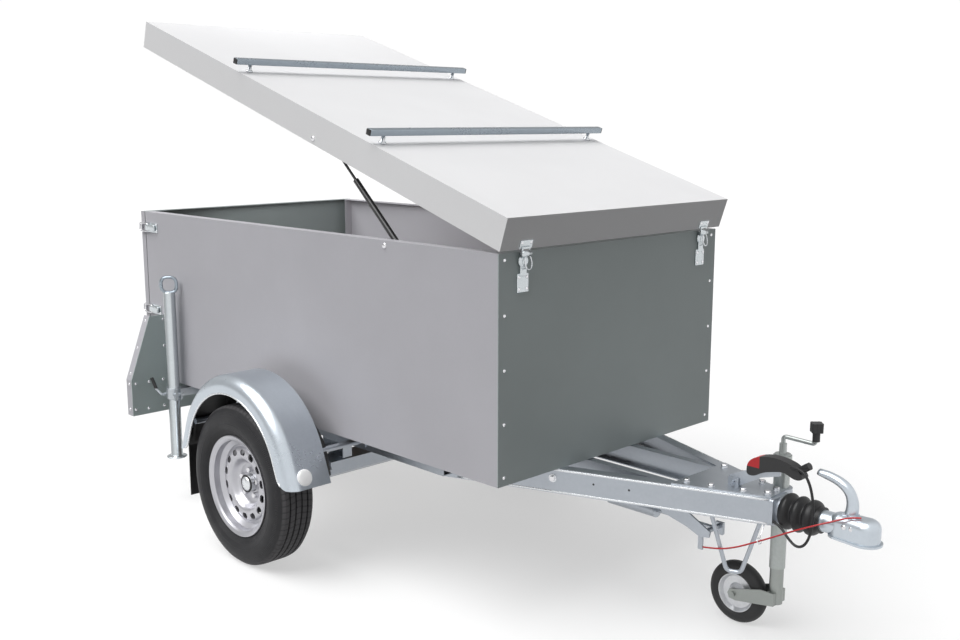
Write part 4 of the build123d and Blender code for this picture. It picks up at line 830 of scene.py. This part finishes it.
def drawbar_details():
    """Bolts on the drawbar plate and the beams, bars along the beams' corners in a lighter zinc as a painted
    highlight, rivets on the coupling and the eye that guides the breakaway cable."""
    plate_top, washer_top = 0.495, 0.002
    spots = ((0.360, 0.100), (0.438, 0.086), (0.526, 0.053), (0.590, 0.024))
    bolts = np.array([(BOX_FRONT + x, k * y, plate_top) for _, k in SIDES for x, y in spots])
    turned("drawbar_washers", bolts, UP, washer(0.012), "chassis", *ROLLED, smooth=False)
    heads = bolts + (0, 0, washer_top)
    turned("drawbar_bolts", heads, UP, hex_head(0.0095, 0.0075), "chassis", *BRIGHT, corners=6, smooth=False)
    corner, inset = 0.0052, 0.0047
    coupling_side, rivet_z = 0.0345, 0.462
    for side, k in SIDES:
        # bars along the beam's upper and lower corners in a lighter zinc than the beam: a painted highlight
        for edge, z in (("upper", 0.4855), ("lower", 0.4145)):
            x = np.linspace(0.606, -0.330, 24)
            line = np.stack([BOX_FRONT + x, k * (beam_side(x) - inset), 0 * x + z], -1)
            round_bar(f"beam_corner_highlight_{edge}_{side}", line, corner, "chassis", *BEADED)
        out = (BEAM_OUT[0], k * BEAM_OUT[1], 0)
        bolt, *holes = [(BOX_FRONT + x, k * beam_side(x), z)
                        for x, z in ((-0.016, 0.458), (0.110, 0.456), (0.217, 0.454))]
        turned(f"beam_washer_{side}", [bolt], out, washer(0.013), "chassis", *ROLLED, smooth=False)
        turned(f"beam_bolt_{side}", [bolt], out, hex_head(0.0095, 0.0095), "chassis", *BRIGHT, corners=6,
               smooth=False)
        # flat black discs where the beam has holes: painted shade inside them
        turned(f"beam_hole_shade_{side}", holes, out, dome(0.0035, 0.0003), "chassis", *BLACK)
        rivets = [(BOX_FRONT + x, k * coupling_side, rivet_z) for x in (0.836, 0.858)]
        turned(f"coupling_rivets_{side}", rivets, (0, k, 0), dome(0.008, 0.004), "chassis", *BRIGHT)
    wire = 0.0018
    eye, eye_way = route([(606, -84, 371)]), (0.886, 0, 0.464)
    turned("cable_eye", eye, eye_way, torus_profile(0.0085, wire), "chassis", *BRIGHT, sides=24)
    link = route([(598, -46, 411), (600, -56, 401), (603, -68, 389), (605, -78, 379)])
    round_bar("cable_eye_link", link, wire, "chassis", *BRIGHT, sides=8)


def route(points):
    """Route in metres from points in millimetres measured from the front wall."""
    return [(BOX_FRONT + x / 1000, y / 1000, z / 1000) for x, y, z in points]


def cable(name, points, diameter, finish):
    """Smooth cable: a quadratic spline that takes the route's points as its control points."""
    data = bpy.data.curves.new(name, "CURVE")
    data.dimensions, data.use_fill_caps = "3D", True
    data.bevel_depth, data.bevel_resolution, data.resolution_u = diameter / 2, 4, 12
    line = data.splines.new("NURBS")
    line.points.add(len(points) - 1)
    line.points.foreach_set("co", np.array([(*at, 1.0) for at in points]).ravel())
    line.order_u = 3
    line.use_endpoint_u = True
    piece = bpy.data.objects.new(name + "_dressed", data)
    bpy.context.scene.collection.objects.link(piece)
    data.materials.append(FINISHES[finish])
    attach(piece, "chassis")
    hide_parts(name)


def cables():
    """The breakaway cable from its bracket to the coupling,
    and the light cable in its loop by the bellows."""
    cable("breakaway_cable",
          route([(427, -99, 306), (478, -96, 313), (532, -91, 332), (590, -84, 362), (648, -84, 394),
                 (706, -82, 427), (764, -76, 457), (815, -52, 479), (850, -27, 493), (876, -14, 494)]),
          0.005, "red_sleeve")
    cable("light_cable",
          route([(625, -42, 424), (652, -48, 418), (682, -58, 394), (712, -62, 376), (738, -62, 388),
                 (754, -62, 426), (758, -60, 476), (752, -56, 528), (735, -52, 574), (706, -46, 602),
                 (672, -43.2, 598)]),
          0.008, "black_rubber")


aim_camera()
floor()
room()
lights()
box_details()
lid_details()
prop_details()
coupling_details()
wheel_details()
fender_details()
drawbar_details()
cables()
